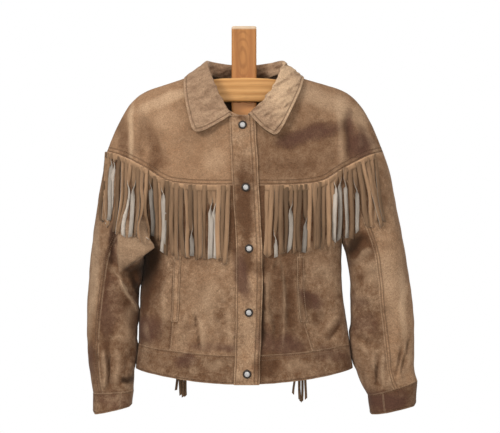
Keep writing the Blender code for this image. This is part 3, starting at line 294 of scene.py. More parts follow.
Cut = namedtuple("Cut", "width length share slot wall levels stitched")
DOUBLE_ROW, EDGE_ROW = (2.2, 9.0), (2.6,)
YOKE_ROWS = {"bottom": DOUBLE_ROW}
SLEEVE_ROWS = {"front": (2.4, 7.5)}
CUFF_ROWS = {"top": EDGE_ROW, "bottom": EDGE_ROW}
BAND_ROWS = {"top": DOUBLE_ROW, "bottom": EDGE_ROW}
WELT_ROWS = {"left": (1.8,), "right": (1.8,)}
COLLAR_ROWS = {"longest": (5.0,), "left": (5.0,), "right": (5.0,)}
CUTS = {
    "yoke_front_left": Cut(300, 265, 0.6, "suede", SINGLE, 3, YOKE_ROWS),
    "yoke_front_right": Cut(320, 270, 0.58, "suede", SINGLE, 3, YOKE_ROWS),
    "yoke_back": Cut(575, 270, 0.6, "suede", SINGLE, 3, YOKE_ROWS),
    "front_left": Cut(139, 330, 0.9, "suede", SINGLE, 3, {}),
    "front_right": Cut(133, 325, 0.83, "suede", SINGLE, 3, {}),
    "side_front_left": Cut(100, 357, 0.78, "dark_suede", SINGLE, 3, {"right": EDGE_ROW}),
    "side_front_right": Cut(108, 358, 0.87, "dark_suede", SINGLE, 3, {"left": EDGE_ROW}),
    "back": Cut(480, 363, 0.8, "suede", SINGLE, 3, {}),
    "sleeve_left_upper": Cut(230, 456, 0.755, "suede", SINGLE, 3, SLEEVE_ROWS),
    "sleeve_left_under": Cut(165, 456, 0.73, "dark_suede", SINGLE, 4, {}),
    "sleeve_right_upper": Cut(245, 449, 0.76, "suede", SINGLE, 3, SLEEVE_ROWS),
    "sleeve_right_under": Cut(180, 449, 0.76, "dark_suede", SINGLE, 3, {}),
    "cuff_left": Cut(237, 36, 0.95, "dark_suede", DOUBLE, 3, CUFF_ROWS),
    "cuff_right": Cut(282, 42, 0.945, "dark_suede", DOUBLE, 3, CUFF_ROWS),
    "waistband_left": Cut(243, 53, 0.95, "dark_suede", DOUBLE, 3, BAND_ROWS),
    "waistband_right": Cut(253, 53, 0.94, "dark_suede", DOUBLE, 3, BAND_ROWS),
    "waistband_back": Cut(490, 53, 0.955, "dark_suede", DOUBLE, 3, BAND_ROWS),
    "placket": Cut(49, 510, 0.987, "suede", DOUBLE, 4, {"right": (2.6, 9.5), "left": EDGE_ROW}),
    "pocket_welt_left": Cut(13, 124, 0.93, "suede", SINGLE, 3, WELT_ROWS),
    "pocket_welt_right": Cut(13, 125, 0.99, "suede", SINGLE, 3, WELT_ROWS),
    "collar": Cut(622, 90, 0.836, "pale_suede", DOUBLE, 3, COLLAR_ROWS),
}
GROUPS = {
    "panels": ["yoke_front_left", "yoke_front_right", "yoke_back", "front_left", "front_right",
               "side_front_left", "side_front_right", "back"],
    "sleeves": ["sleeve_left_upper", "sleeve_left_under", "sleeve_right_upper",
                "sleeve_right_under"],
    "bands": ["cuff_left", "cuff_right", "waistband_left", "waistband_right", "waistband_back"],
    "front_details": ["placket", "pocket_welt_left", "pocket_welt_right"],
    "collar": ["collar"],
}

# Where the strands end: how far right of the middle, and how high, in millimetres.
FRONT_ENDS = [(-257, -384), (-242, -395), (-231, -410), (-206, -412), (-178, -410), (-162, -414),
              (-151, -448), (-121, -450), (-83, -452), (-24, -456), (25, -446), (69, -443),
              (106, -441), (135, -437), (163, -429), (186, -424), (205, -414), (216, -393),
              (231, -386), (258, -386)]
BACK_ENDS = [(-262, -372), (-230, -402), (-170, -420), (-100, -428), (0, -432), (100, -426),
             (170, -418), (230, -398), (262, -370)]

# Between which places front strands hang turned over, and from what share of their drop.
Turned = namedtuple("Turned", "low high start")
FRONT_TURNED = [Turned(-257, -244, 0.0), Turned(-222, -207, 0.22), Turned(-198, -195, 0.45),
                Turned(-184, -173, 0.10), Turned(-155, -147, 0.05), Turned(-104, -99, 0.55),
                Turned(-70, -54, 0.18), Turned(58, 64, 0.60), Turned(88, 96, 0.22),
                Turned(108, 124, 0.42), Turned(136, 143, 0.50), Turned(172, 184, 0.05),
                Turned(188, 196, 0.10), Turned(203, 214, 0.25), Turned(236, 241, 0.55)]

# The fringes: the yoke that each hangs from, where it ends, its way out, how loosely its
# strands hang and its seed.
Fringe = namedtuple("Fringe", "yoke ends way loose seed")
FRINGES = {
    "fringe_front_left": Fringe("yoke_front_left", FRONT_ENDS, FRONT, 0.55, 3),
    "fringe_sleeve_left": Fringe("yoke_front_left", FRONT_ENDS, FRONT, 1.0, 4),
    "fringe_front_right": Fringe("yoke_front_right", FRONT_ENDS, FRONT, 0.55, 5),
    "fringe_sleeve_right": Fringe("yoke_front_right", FRONT_ENDS, FRONT, 1.0, 6),
    "fringe_back": Fringe("yoke_back", BACK_ENDS, BACK, 0.55, 7),
}
FRINGE_ROWS = 14            # points down a strand
STRAND_GAP = 0.0008         # between neighbours, where they are cut apart
ROOT_PITCH = 0.0004         # of the points along a seam that strands hang from
# The uncut strip's rows: how far below the seam, and how light.
STRIP_DROPS = (0.0, 0.004, 0.008, 0.0115)
STRIP_TONES = (1.6, 1.1, 0.95, 0.85)
STRIP_EVERY = 12            # it has a column at every twelfth of the seam's points
STRIP_CLEARANCE = 0.0014

TASSEL_SEEDS = {"tassel_left": 8, "tassel_right": 9}
TASSEL_STRANDS, TASSEL_ROWS, TASSEL_WIDTH = 5, 10, 0.0054
TASSEL_INSET, TASSEL_CLEARANCE = 0.004, 0.0025
SNAP_COUNT, SPIN_STEPS = 5, 40

HEM_LIFT = 0.006            # how much higher a cuff's edge is where it turns round the wrist
PLACKET_LIFT = 0.0035       # how much higher the placket's top end is than on the plain form
PROBE = 0.4                 # how far before the middle plane the rays at the cloth start
FAR = 0.02                  # the distance that stands for no row of stitches

# ---- small helpers ---------------------------------------------------------------------

panels = {}     # finished panels by node: piece, sides and a search tree of the outer skin
Panel = namedtuple("Panel", "piece sides tree")
Run = namedtuple("Run", "points inward")


def smooth(t):
    t = np.clip(t, 0.0, 1.0)
    return t * t * (3 - 2 * t)


def coordinates(mesh):
    found = np.empty(len(mesh.vertices) * 3, np.float32)
    mesh.vertices.foreach_get("co", found)
    return found.reshape(-1, 3).astype(float)


WAVES = 9                   # that one ripple is made of


def ripple(points, size, seed):
    """A smooth field between about -1 and 1 whose waves are about this long."""
    rng = np.random.default_rng(seed)
    total = np.zeros(len(points))
    for _ in range(WAVES):
        way = rng.normal(size=3)
        way /= np.linalg.norm(way)
        total += np.sin(points @ way * (2 * math.pi / size) * rng.uniform(0.6, 1.5)
                        + rng.uniform(0, 2 * math.pi))
    return total / 3.4


def link(obj):
    bpy.context.scene.collection.objects.link(obj)
    return obj


def to_mesh(built, name):
    """A new mesh from what was built, which is then let go."""
    mesh = bpy.data.meshes.new(name)
    built.to_mesh(mesh)
    built.free()
    return mesh


def dressed(obj, slot, *nodes):
    """Puts a finished piece on the one body and hides the nodes that it stands for."""
    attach(obj, "root")
    if nodes:
        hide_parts(*nodes)


def rounded(points, rounds=3):
    """A line with its corners cut again and again, between the same ends."""
    for _ in range(rounds):
        a, b = points[:-1], points[1:]
        cut = np.empty((2 * len(a), points.shape[1]))
        cut[0::2], cut[1::2] = 0.75 * a + 0.25 * b, 0.25 * a + 0.75 * b
        points = np.vstack([points[:1], cut, points[-1:]])
    return points


def lengths_along(points):
    """How far along a line each of its points is."""
    return np.concatenate([[0], np.cumsum(np.linalg.norm(np.diff(points, axis=0), axis=1))])


def evenly(points, pitch):
    """Points at an even pitch along a smoothed line, with their unit tangents."""
    points = rounded(np.asarray(points, float))
    lengths = lengths_along(points)
    count = max(int(lengths[-1] / pitch), 2)
    at = np.linspace(0, lengths[-1], count + 1)
    even = np.stack([np.interp(at, lengths, points[:, k]) for k in range(3)], axis=1)
    tangents = np.gradient(even, axis=0)
    tangents /= np.linalg.norm(tangents, axis=1)[:, None]
    return even, tangents


def tree_of(points):
    tree = KDTree(len(points))
    for i, point in enumerate(points):
        tree.insert(point, i)
    tree.balance()
    return tree


# ---- the cloth's shape -----------------------------------------------------------------

def crease_height(x, z, creases):
    """How far the creases raise the cloth, in metres."""
    total = np.zeros(len(x))
    for number, c in enumerate(creases):
        dx, dz = c.x1 - c.x0, c.z1 - c.z0
        length = math.hypot(dx, dz)
        t = ((x - c.x0) * dx + (z - c.z0) * dz) / length ** 2
        across = ((z - c.z0) * dx - (x - c.x0) * dz) / length
        across = across + 0.35 * c.width * np.sin(5.5 * t + number)
        steep = np.where(across < 0, 1 + 2.5 * max(c.lean, 0), 1 + 2.5 * max(-c.lean, 0))
        ends = smooth(t / 0.3) * smooth((1 - t) / 0.2)
        uneven = 0.85 + 0.2 * np.sin(9 * t + 2.3 * number)
        total += c.height * ends * uneven * np.exp(-np.abs(across / c.width * steep) ** 1.6)
    return total * CREASE_DEPTH * MM


def above_flap_line(x, z):
    (x0, z0), (x1, z1) = FLAP_TIP, FLAP_CORNER
    return ((z - z0) * (x1 - x0) - (x - x0) * (z1 - z0)) / math.hypot(x1 - x0, z1 - z0)


def overhang(points):
    """How far the left sleeve's front hangs over towards the body, most of it in the fold."""
    rows = np.array(FLAP_REACH[::-1], float)
    reach = np.interp(points[:, 2] / MM, rows[:, 0], rows[:, 1]) * MM
    forward = smooth((AXIS_Y - 0.025 - points[:, 1]) / 0.035)
    reach *= forward * smooth((points[:, 0] + 0.245) / 0.040)
    above = above_flap_line((points[:, 0] + reach) / MM, points[:, 2] / MM)
    return reach * (0.2 + 0.8 * smooth(above / 4))


def leaning(points, table):
    """How far a sleeve's inner side leans towards the body, in millimetres."""
    rows = np.array(table[::-1], float)
    inner = smooth((0.255 - np.abs(points[:, 0])) / 0.04)
    return inner * np.interp(points[:, 2] / MM, rows[:, 0], rows[:, 1])


def rounded_hem(points, node):
    """Lifts a cuff's lower edge where it turns round the wrist."""
    low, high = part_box(node)
    off = np.abs(points[:, 0] - (low[0] + high[0]) / 2) / ((high[0] - low[0]) / 2)
    return HEM_LIFT * smooth((off - 0.80) / 0.20) * smooth((high[2] - points[:, 2]) / 0.035)


def flap_height(x, z):
    """The fold of cloth over the left elbow, with two sharp edges."""
    x0, z0 = FLAP_TIP
    above = above_flap_line(x, z)
    inside = smooth((x - FLAP_LEFT) / 3.0) * smooth(above / 3.0)
    from_tip = np.hypot(x - x0, z - z0)
    rise = FLAP_HEIGHT * (0.35 + 0.65 * smooth(from_tip / 60)) * smooth((FLAP_TOP - z) / 30)
    return inside * rise * smooth((FLAP_RIGHT - x) / 12) * MM


def mirrored(rows):
    """The same creases or patches on the jacket's other side."""
    flipped = ("x0", "x1", "lean") if isinstance(rows[0], Crease) else ("x", "turn")
    return [row._replace(**{name: -getattr(row, name) for name in flipped}) for row in rows]


def arm_of(node):
    """Which arm a sleeve or cuff is on; None for the other panels."""
    if not node.startswith(("sleeve", "cuff")):
        return None
    return "left" if "_left" in node else "right"


def creases_of(node):
    """The creases of a panel's front and of its back."""
    return {"left": (LEFT_SLEEVE_CREASES, SLEEVE_BACK_CREASES),
            "right": (RIGHT_SLEEVE_CREASES, mirrored(SLEEVE_BACK_CREASES)),
            None: (FRONT_CREASES, BACK_CREASES)}[arm_of(node)]


def patches_of(node):
    """The patches on a panel's front and on its back."""
    if node == "collar":
        return COLLAR_FRONT_PATCHES, COLLAR_BACK_PATCHES
    return {"left": (LEFT_SLEEVE_PATCHES, SLEEVE_BACK_PATCHES),
            "right": (RIGHT_SLEEVE_PATCHES, mirrored(SLEEVE_BACK_PATCHES)),
            None: (FRONT_PATCHES, BACK_PATCHES)}[arm_of(node)]


def raised(points, node):
    """How far each point stands out from the plain form, in metres."""
    x, z = points[:, 0] / MM, points[:, 2] / MM
    ahead, behind = creases_of(node)
    front_height = crease_height(x, z, ahead)
    if arm_of(node) == "left":
        front_height = front_height + flap_height(x, z)
    height = np.where(points[:, 1] < AXIS_Y, front_height, crease_height(x, z, behind))
    return height * smooth(np.abs(points[:, 1] - AXIS_Y) / 0.026)


# How much lower the collar's leaves end than the plain form, from what height down and
# over what stretch; and for each side, how far its leaf's inner edge moves and how far out
# it does so.
LEAF_DROP, DROP_FROM, DROP_OVER = 0.0090, -0.105, 0.09
LEAF_EDGES = ((LEFT, 0.5, 0.100), (RIGHT, -5.0, 0.068))
TIP_CUT = 0.0062            # how much of each leaf's sharp point is rounded off


def blunted(points):
    """The collar with its leaves hung a little lower and its two points rounded off."""
    corners = coordinates(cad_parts["collar"].data)
    front = points[:, 1] < AXIS_Y
    low = smooth((DROP_FROM - points[:, 2]) / DROP_OVER) * front
    points = points + np.outer(low, [0.0, -0.0012, -LEAF_DROP])
    corners[:, 2] -= LEAF_DROP * smooth((DROP_FROM - corners[:, 2]) / DROP_OVER)
    for side, across, reach in LEAF_EDGES:
        inner = smooth((reach - side * points[:, 0]) / 0.030) * (side * points[:, 0] > 0)
        inner *= smooth((-0.155 - points[:, 2]) / 0.028) * front
        points = points + np.outer(inner * MM, [across, -1.2, -6.0])
        half = corners[side * corners[:, 0] > 0]
        tip = half[half[:, 2].argmin()]
        into = np.array([-0.35 * side, 0.0, 0.94])
        depth = (points - tip) @ into
        near = smooth((0.030 - np.linalg.norm(points - tip, axis=1)) / 0.012)
        points = points + np.outer(0.80 * np.clip(TIP_CUT - depth, 0, None) * near, into)
    return points


def gathered(points):
    """The collar's small slanted puckers, between about -1 and 1."""
    slanted = points @ np.array([[0.30, 0, -0.50], [0, 0.25, 0], [0.35, 0, 1.15]])
    return ripple(slanted, 0.013, 7) * 0.8 + ripple(points, 0.011, 8) * 0.25


def shaped_collar(points, inside):
    """The collar's points with its leaves' waves, puckers and gathers; inside is how far
    each lies from the collar's edges."""
    points = blunted(points)
    low = smooth((-0.078 - points[:, 2]) / 0.05) * smooth((inside - 0.003) / 0.016)
    out = points - np.array([0.0, AXIS_Y, 0.0])
    out[:, 2] = 0
    out /= np.linalg.norm(out, axis=1)[:, None]
    slanted = points @ np.array([[0.75, 0, 0.35], [0, 0.5, 0], [0.9, 0, 1.7]])
    wave = 0.5 + 0.5 * ripple(points, 0.036, 5)
    pucker = 0.5 + 0.5 * ripple(slanted, 0.020, 6)
    side = smooth(points[:, 0] / 0.03)
    gathers = gathered(points)
    free = smooth((-0.062 - points[:, 2]) / 0.02) * smooth((inside - 0.002) / 0.008)
    height = (2.0 * wave + 3.0 * pucker * (0.8 + 0.5 * side)) * low
    return points + out * ((height + (1.5 + 0.7 * side) * gathers * free) * MM)[:, None]


def shaped(points, node, inside=0.0):
    """The points moved by the creases and by small uneven waves; inside is how far each lies
    from the panel's edges."""
    points = np.array(points, float)
    if node == "collar":
        return shaped_collar(points, inside)
    if node.startswith("sleeve_left"):
        points[:, 0] += overhang(points) + leaning(points, LEFT_TOUCH) * MM
    elif node.startswith("sleeve_right"):
        points[:, 0] -= leaning(points, RIGHT_TOUCH) * MM
    elif node.startswith("cuff"):
        points[:, 2] += rounded_hem(points, node)
    way = np.where(points[:, 1] < AXIS_Y, FRONT, BACK)
    waves = np.stack([ripple(points, 0.075, 11 + k) + ripple(points, 0.026, 21 + k) * 0.35
                      for k in range(3)], axis=1) * MM
    moved = points + waves * np.array([0.5, 1.0, 0.3])
    if node == "placket":
        moved[:, 2] += PLACKET_LIFT * smooth((points[:, 2] + 0.215) / 0.030)
    moved[:, 1] += way * raised(points, node)
    return moved


def below_fringe(x, z, front, node):
    """1 where painted shade darkens the cloth below the fringe."""
    if not node.startswith(("front", "side_front", "back", "sleeve")):
        return np.zeros(len(x))
    ends = np.where(front, np.interp(x, *np.array(FRONT_ENDS, float).T),
                    np.interp(x, *np.array(BACK_ENDS, float).T))
    reach = smooth((FRINGE_REACH - np.abs(x)) / 8) if node.startswith("sleeve") else 1.0
    return smooth((z - ends - 6) / 16) * reach


def stain_and_painted_light_masks(points, node):
    """Each kind of patch's share at each point."""
    x, z = points[:, 0] / MM, points[:, 2] / MM
    front = points[:, 1] < AXIS_Y
    masks = {kind: np.zeros(len(x)) for kind in ("light", "dark", "purple", "deep")}
    # painted shade on the cloth under the fringe
    masks["dark"] += below_fringe(x, z, front, node) * FRINGE_SHADE
    masks["dark"] = 1 - (1 - masks["dark"]) * (1 - SKIN_TONES.get(node, 0.0))
    uneven = 0.45 if node.startswith("yoke") else 1.0
    x = x + uneven * (4 * ripple(points, 0.060, 31) + 1.5 * ripple(points, 0.018, 33))
    z = z + uneven * (5 * ripple(points, 0.065, 32) + 1.5 * ripple(points, 0.018, 34))
    for table, here in zip(patches_of(node), (front, ~front)):
        for patch in table:
            turn = math.radians(patch.turn)
            dx, dz = x - patch.x, z - patch.z
            u = (dx * math.cos(turn) + dz * math.sin(turn)) / patch.across
            v = (dz * math.cos(turn) - dx * math.sin(turn)) / patch.down
            spot = patch.amount * smooth((1.6 - np.sqrt(u * u + v * v)) / 1.3)
            mask = masks[patch.kind]
            mask[:] = np.where(here, 1 - (1 - mask) * (1 - spot), mask)
    if node == "placket":       # it lies over the fronts, so no hollow reaches it
        masks["deep"][:] = 0
    return masks


# ---- panels ----------------------------------------------------------------------------

# How far the cut edges are carried out and down, in steps, and a cuff's end below the other.
EDGE_STEPS = ((0.0004, 0.0003), (0.0001, 0.0007))
UNDERLAP_STEPS = ((0.0006, 0.0028), (0.008, 0.0002))


def outer_skin(node, wall):
    """The outer side of a CAD wall as an open mesh of quads."""
    skin = bmesh.new()
    skin.from_mesh(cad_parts[node].data)
    bmesh.ops.remove_doubles(skin, verts=skin.verts, dist=MERGE)
    rim = [face for face in skin.faces
           if any(abs(edge.calc_length() - wall) < RIM_TOLERANCE for edge in face.edges)]
    bmesh.ops.delete(skin, geom=rim, context="FACES")
    middle = sum((v.co for v in skin.verts), Vector()) / len(skin.verts)
    middle.y = AXIS_Y
    left_over, best, outer = set(skin.faces), -1.0, set()
    while left_over:
        island, edge_of_it = set(), [left_over.pop()]
        while edge_of_it:
            face = edge_of_it.pop()
            island.add(face)
            near = {other for edge in face.edges for other in edge.link_faces} & left_over
            left_over -= near
            edge_of_it.extend(near)
        facing = sum((f.calc_center_median() - middle).dot(f.normal) * f.calc_area()
                     for f in island)
        if facing > best:
            best, outer = facing, island
    bmesh.ops.delete(skin, geom=[f for f in skin.faces if f not in outer], context="FACES")
    bmesh.ops.join_triangles(skin, faces=skin.faces, angle_face_threshold=math.radians(50),
                             angle_shape_threshold=math.pi)
    skin.normal_update()
    return skin


def sides_of(skin):
    """The four sides of an open panel, each as its points and the way into the panel."""
    ring, vert = [], next(v for v in skin.verts if v.is_boundary)
    while vert is not None and vert not in ring:
        ring.append(vert)
        around = [e.other_vert(vert) for e in vert.link_edges if e.is_boundary]
        vert = next((v for v in around if v not in ring), None)

    def bend(i):
        a, b, c = ring[i - 1].co, ring[i].co, ring[(i + 1) % len(ring)].co
        return (b - a).angle(c - b)

    corners = sorted(sorted(range(len(ring)), key=bend)[-4:])
    runs = []
    for first, last in zip(corners, corners[1:] + [corners[0] + len(ring)]):
        verts = [ring[i % len(ring)] for i in range(first, last + 1)]
        inward = []
        for i, vert in enumerate(verts):
            along = (verts[min(i + 1, len(verts) - 1)].co - verts[max(i - 1, 0)].co).normalized()
            way = sum((face.calc_center_median() - vert.co for face in vert.link_faces), Vector())
            inward.append((way - along * way.dot(along)).normalized())
        runs.append(Run(np.array([v.co for v in verts]), np.array(inward)))
    return runs


def pick(runs, where):
    """The side that lies furthest that way, or the longest one."""
    if where == "longest":
        return max(runs, key=lambda run: lengths_along(run.points)[-1])
    axis, sign = {"top": (2, 1), "bottom": (2, -1), "left": (0, -1), "right": (0, 1),
                  "front": (1, -1), "back": (1, 1)}[where]
    return max(runs, key=lambda run: sign * run.points[:, axis].mean())


def attribute(mesh, name, values):
    layer = mesh.attributes.new(name, "FLOAT", "POINT")
    layer.data.foreach_set("value", np.asarray(values, np.float32))


def distance_to(points, lines, reach=0.03):
    """How far each point is from the nearest of the lines' points, up to this reach."""
    if not lines:
        return np.full(len(points), reach)
    tree = tree_of(np.vstack(lines))
    return np.array([min(tree.find(point)[2], reach) for point in points])


def outward(vert):
    """The way out of an open mesh at one of its boundary points, along the cloth."""
    ends = [edge.other_vert(vert).co for edge in vert.link_edges if edge.is_boundary]
    along = (ends[0] - ends[-1]).normalized()
    way = sum((vert.co - face.calc_center_median() for face in vert.link_faces), Vector())
    way -= along * way.dot(along)
    way -= vert.normal * way.dot(vert.normal)
    return way.normalized()


def grow_edges(cloth, chosen, steps, way=None):
    """Extrudes boundary edges by steps of (out along the cloth, down below it)."""
    ways = {tuple(v.co): (way or outward(v), v.normal.copy())
            for edge in chosen for v in edge.verts}
    for out, down in steps:
        grown = bmesh.ops.extrude_edge_only(cloth, edges=chosen)["geom"]
        moved = {}
        for vert in grown:
            if isinstance(vert, bmesh.types.BMVert):
                way, normal = ways[tuple(vert.co)]
                vert.co += way * out - normal * down
                moved[tuple(vert.co)] = (way, normal)
        chosen, ways = [edge for edge in grown if isinstance(edge, bmesh.types.BMEdge)], moved


def opened(mesh):
    """The mesh as one that bmesh operators can work on."""
    cloth = bmesh.new()
    cloth.from_mesh(mesh)
    cloth.normal_update()
    return cloth


def turn_edges(mesh):
    """Rolls the cut edges inwards, so that seams close and free edges look turned."""
    cloth = opened(mesh)
    grow_edges(cloth, [edge for edge in cloth.edges if edge.is_boundary], EDGE_STEPS)
    cloth.to_mesh(mesh)
    cloth.free()


def add_underlap(mesh, end):
    """Carries one end of a cuff on below its other end, so that the slit stays closed."""
    cloth = opened(mesh)
    tree = tree_of(evenly(end, 0.001)[0])
    near = [edge for edge in cloth.edges if edge.is_boundary
            and all(tree.find(v.co)[2] < 0.0014 for v in edge.verts)]
    middle = near[len(near) // 2]
    edge_middle = (middle.verts[0].co + middle.verts[1].co) / 2
    way = (edge_middle - middle.link_faces[0].calc_center_median()).normalized()
    one_side = [edge for edge in near
                if (edge.verts[0].co - edge.link_faces[0].calc_center_median()).dot(way) > 0]
    grow_edges(cloth, one_side, UNDERLAP_STEPS, way)
    cloth.to_mesh(mesh)
    cloth.free()


def inside_painted_shade():
    """The skins' inner side, painted near black as the shade inside the jacket."""
    name = "suede_inside"
    if name in bpy.data.materials:
        return bpy.data.materials[name]
    return raw_suede(name, bpy.context.scene.jacket_suede.inside, toned=False)


def line_of(run):
    return evenly(run.points, LINE_PITCH)[0]


def divided(piece, levels, corners):
    """The piece's mesh divided and smoothed, in place of its coarse one."""
    smoothing = piece.modifiers.new("smooth", "SUBSURF")
    smoothing.levels = smoothing.render_levels = levels
    smoothing.boundary_smooth = corners
    graph = bpy.context.evaluated_depsgraph_get()
    fine = bpy.data.meshes.new_from_object(piece.evaluated_get(graph))
    piece.modifiers.clear()
    piece.data = fine
    return fine


def mark_rows(mesh, points, sides, stitched):
    """Writes how far each point is from the panel's two rows of stitches."""
    rows = sorted({distance for found in stitched.values() for distance in found})
    for index in range(2):
        off = np.full(len(points), FAR)
        if index < len(rows):
            lines = [line_of(pick(sides, where))
                     for where, found in stitched.items() if rows[index] in found]
            off = distance_to(points, lines) - rows[index] * MM
        attribute(mesh, f"row_{index}", off)


def mark_wear_and_shade(mesh, plain, points, sides, node):
    """Writes what the suede's material reads: edges, crests, calm nap, stains and painted light
    and shade.
    """
    attribute(mesh, "edge", distance_to(points, [line_of(run) for run in sides]))
    crest = raised(points, node)
    if node == "collar":
        crest = gathered(blunted(plain)) * np.where(plain[:, 0] > 0, 0.0034, 0.0024)
    attribute(mesh, "crest", crest / (3 * MM) * (0.35 if node.startswith("yoke") else 1.0))
    attribute(mesh, "calm", np.full(len(points), SKIN_CALM.get(node, 0.0)))
    for kind, mask in stain_and_painted_light_masks(points, node).items():
        attribute(mesh, kind, mask)


def make_panel(node):
    """A fine creased skin over a CAD wall, with its wall turned inwards."""
    cut = CUTS[node]
    skin = outer_skin(node, cut.wall)
    runs = sides_of(skin)
    piece = link(bpy.data.objects.new(f"{node}_cloth", to_mesh(skin, node)))
    mesh = divided(piece, cut.levels, "ALL" if node == "collar" else "PRESERVE_CORNERS")
    plain = coordinates(mesh)
    points = shaped(plain, node, distance_to(plain, [line_of(run) for run in runs]))
    mesh.vertices.foreach_set("co", points.astype(np.float32).ravel())
    sides = [Run(shaped(run.points, node), run.inward) for run in runs]
    mark_rows(mesh, points, sides, cut.stitched)
    mark_wear_and_shade(mesh, plain, points, sides, node)
    tree = BVHTree.FromPolygons([Vector(p) for p in points],
                                [tuple(face.vertices) for face in mesh.polygons])
    if node.startswith("cuff"):
        shortest = min(sides, key=lambda run: np.linalg.norm(np.diff(run.points, axis=0)))
        add_underlap(mesh, shortest.points)
    turn_edges(mesh)
    mesh.materials.clear()
    mesh.materials.append(suede_for(cut.slot))
    mesh.shade_smooth()
    wall = piece.modifiers.new("wall", "SOLIDIFY")
    wall.thickness, wall.offset = cut.wall, -1.0
    if node != "collar":
        # the inner side gets the near-black painted shade
        mesh.materials.append(inside_painted_shade())
        wall.material_offset = 1
    panels[node] = Panel(piece, sides, tree)
    dressed(piece, cut.slot, node)


def repeated(name, template, copies, materials, tones=None):
    """One mesh of many copies of a small mesh, each with its own points and tone."""
    pattern = to_mesh(template, f"{name}_pattern")
    many = bmesh.new()
    for _ in copies:
        many.from_mesh(pattern)
    mesh = to_mesh(many, name)
    mesh.vertices.foreach_set("co", np.concatenate(copies).astype(np.float32).ravel())
    mesh.update()
    if tones is not None:
        attribute(mesh, "tone", np.repeat(tones, len(copies[0])))
    for material in materials:
        mesh.materials.append(material)
    mesh.shade_smooth()
    return link(bpy.data.objects.new(name, mesh))


# ---- fringe and tassels ----------------------------------------------------------------

def cloth_front(point, way, trees):
    """Where the cloth's outer side is, straight behind this point; None beside the cloth."""
    start = Vector((point[0], AXIS_Y + way * PROBE, point[2]))
    hits = [tree.ray_cast(start, Vector((0, -way, 0)), PROBE)[0] for tree in trees]
    found = [hit.y for hit in hits if hit is not None]
    return max(found, key=lambda y: way * y) if found else None


# How a strand hangs: its lean and how much it may drift from it, how far it sways and how
# much it curls, its twist in radians and from what share of its drop, and how far off the
# cloth it lies, from 0 to 1.
Hang = namedtuple("Hang", "lean drift sway curl twist twist_from lift")
# How far off the cloth a strand's middle lies, how much farther when it is lifted, and how
# far it swings back in from one row of points to the next.
CLEARANCE, LIFTED, SWING = 0.0016, 0.0045, 0.0035


def hanging_strand(root, drop, hang, rng, trees, way, rows):
    """Centre points and sideways directions of one strand that hangs from its root."""
    drift = rng.normal(0, hang.drift) + hang.lean
    sway, phase = rng.uniform(0.3, 1.0) * hang.sway * MM, rng.uniform(0, 2 * math.pi)
    curl = rng.uniform(0.6, hang.curl)
    centres, acrosses = [], []
    y = root[1]
    for fall in np.linspace(0, drop, rows):
        share = fall / drop
        x = root[0] + drift * fall + sway * share * math.sin(phase + curl * 5 * share)
        x -= sway * share * math.sin(phase) * (1 - share)
        z = root[2] - fall
        surface = cloth_front((x, y, z), way, trees)
        clear = (CLEARANCE + hang.lift * smooth(share / 0.5) * LIFTED
                 + 0.0008 * math.sin(3 * phase + 6 * share))
        target = y if surface is None else surface + way * clear
        if way * target < way * y:      # it swings in slowly and is pushed out at once
            y = y - way * min(abs(target - y), SWING)
        else:
            y = target
        turn = hang.twist * float(smooth((share - hang.twist_from) / 0.28))
        centres.append((x, y, z))
        acrosses.append((-way * math.cos(turn), -way * math.sin(turn)))
    return np.array(centres), np.array(acrosses)


def thick(piece):
    """Gives a strand or strip its thickness; its second material shows on its back."""
    wall = piece.modifiers.new("thickness", "SOLIDIFY")
    wall.thickness, wall.offset = STRAND_WALL, 0.0
    wall.material_offset = wall.material_offset_rim = 1


def strand_grid(rows):
    grid = bmesh.new()
    bmesh.ops.create_grid(grid, x_segments=2, y_segments=rows - 1, size=0.5)
    return grid


def strand_points(template, centres, acrosses, width, rng):
    """The grid's points wrapped round the strand's centre line."""
    rows = len(centres)
    flat = np.array([v.co for v in template.verts])
    row = np.rint((0.5 - flat[:, 1]) * (rows - 1)).astype(int)
    side = flat[:, 0] * 2
    cup = 0.0005 * (1 - np.abs(side)) * rng.choice([-1.0, 1.0])
    half = width / 2 * (1 - 0.16 * rng.uniform(0, 1) * smooth(row / rows))
    slant = rng.uniform(-0.5, 0.5) * width * (row == rows - 1) * side
    points = centres[row].copy()
    points[:, 0] += acrosses[row, 0] * half * side
    points[:, 1] += acrosses[row, 1] * half * side + cup
    points[:, 2] += slant
    return points


def outer_trees():
    """The search trees of all the skins that strands can lie on."""
    return [panel.tree for name, panel in panels.items() if name != "collar"]


def fringe_hang(node, number, root, clump, rng, turned_share):
    """How one strand of a fringe hangs: along its clump, turned over or only twisted."""
    way, loose = FRINGES[node].way, FRINGES[node].loose
    lean = clump
    if node.startswith("fringe_sleeve"):        # these follow the sleeve outwards
        outer = float(smooth((abs(root[0]) - 0.20) / 0.05))
        lean += outer * (0.17 if root[0] > 0 else -0.03)
    way_out = rng.uniform(0, 0.3) + 0.65 * (number % 2)     # neighbours pass each other
    turned = [row.start for row in FRONT_TURNED
              if way == FRONT and row.low <= root[0] / MM <= row.high]
    if way == BACK and rng.uniform() < turned_share:
        turned = [rng.uniform(0.0, 0.55)]
    angle = rng.uniform(160, 195) if turned else rng.uniform(0, 32) * loose
    return Hang(lean=lean, drift=0.026 * loose, sway=5.4 * loose, curl=1.0 + 1.1 * loose,
                twist=math.radians(angle) * rng.choice([-1, 1]),
                twist_from=turned[0] if turned else rng.uniform(0.0, 0.5), lift=way_out * 0.8)


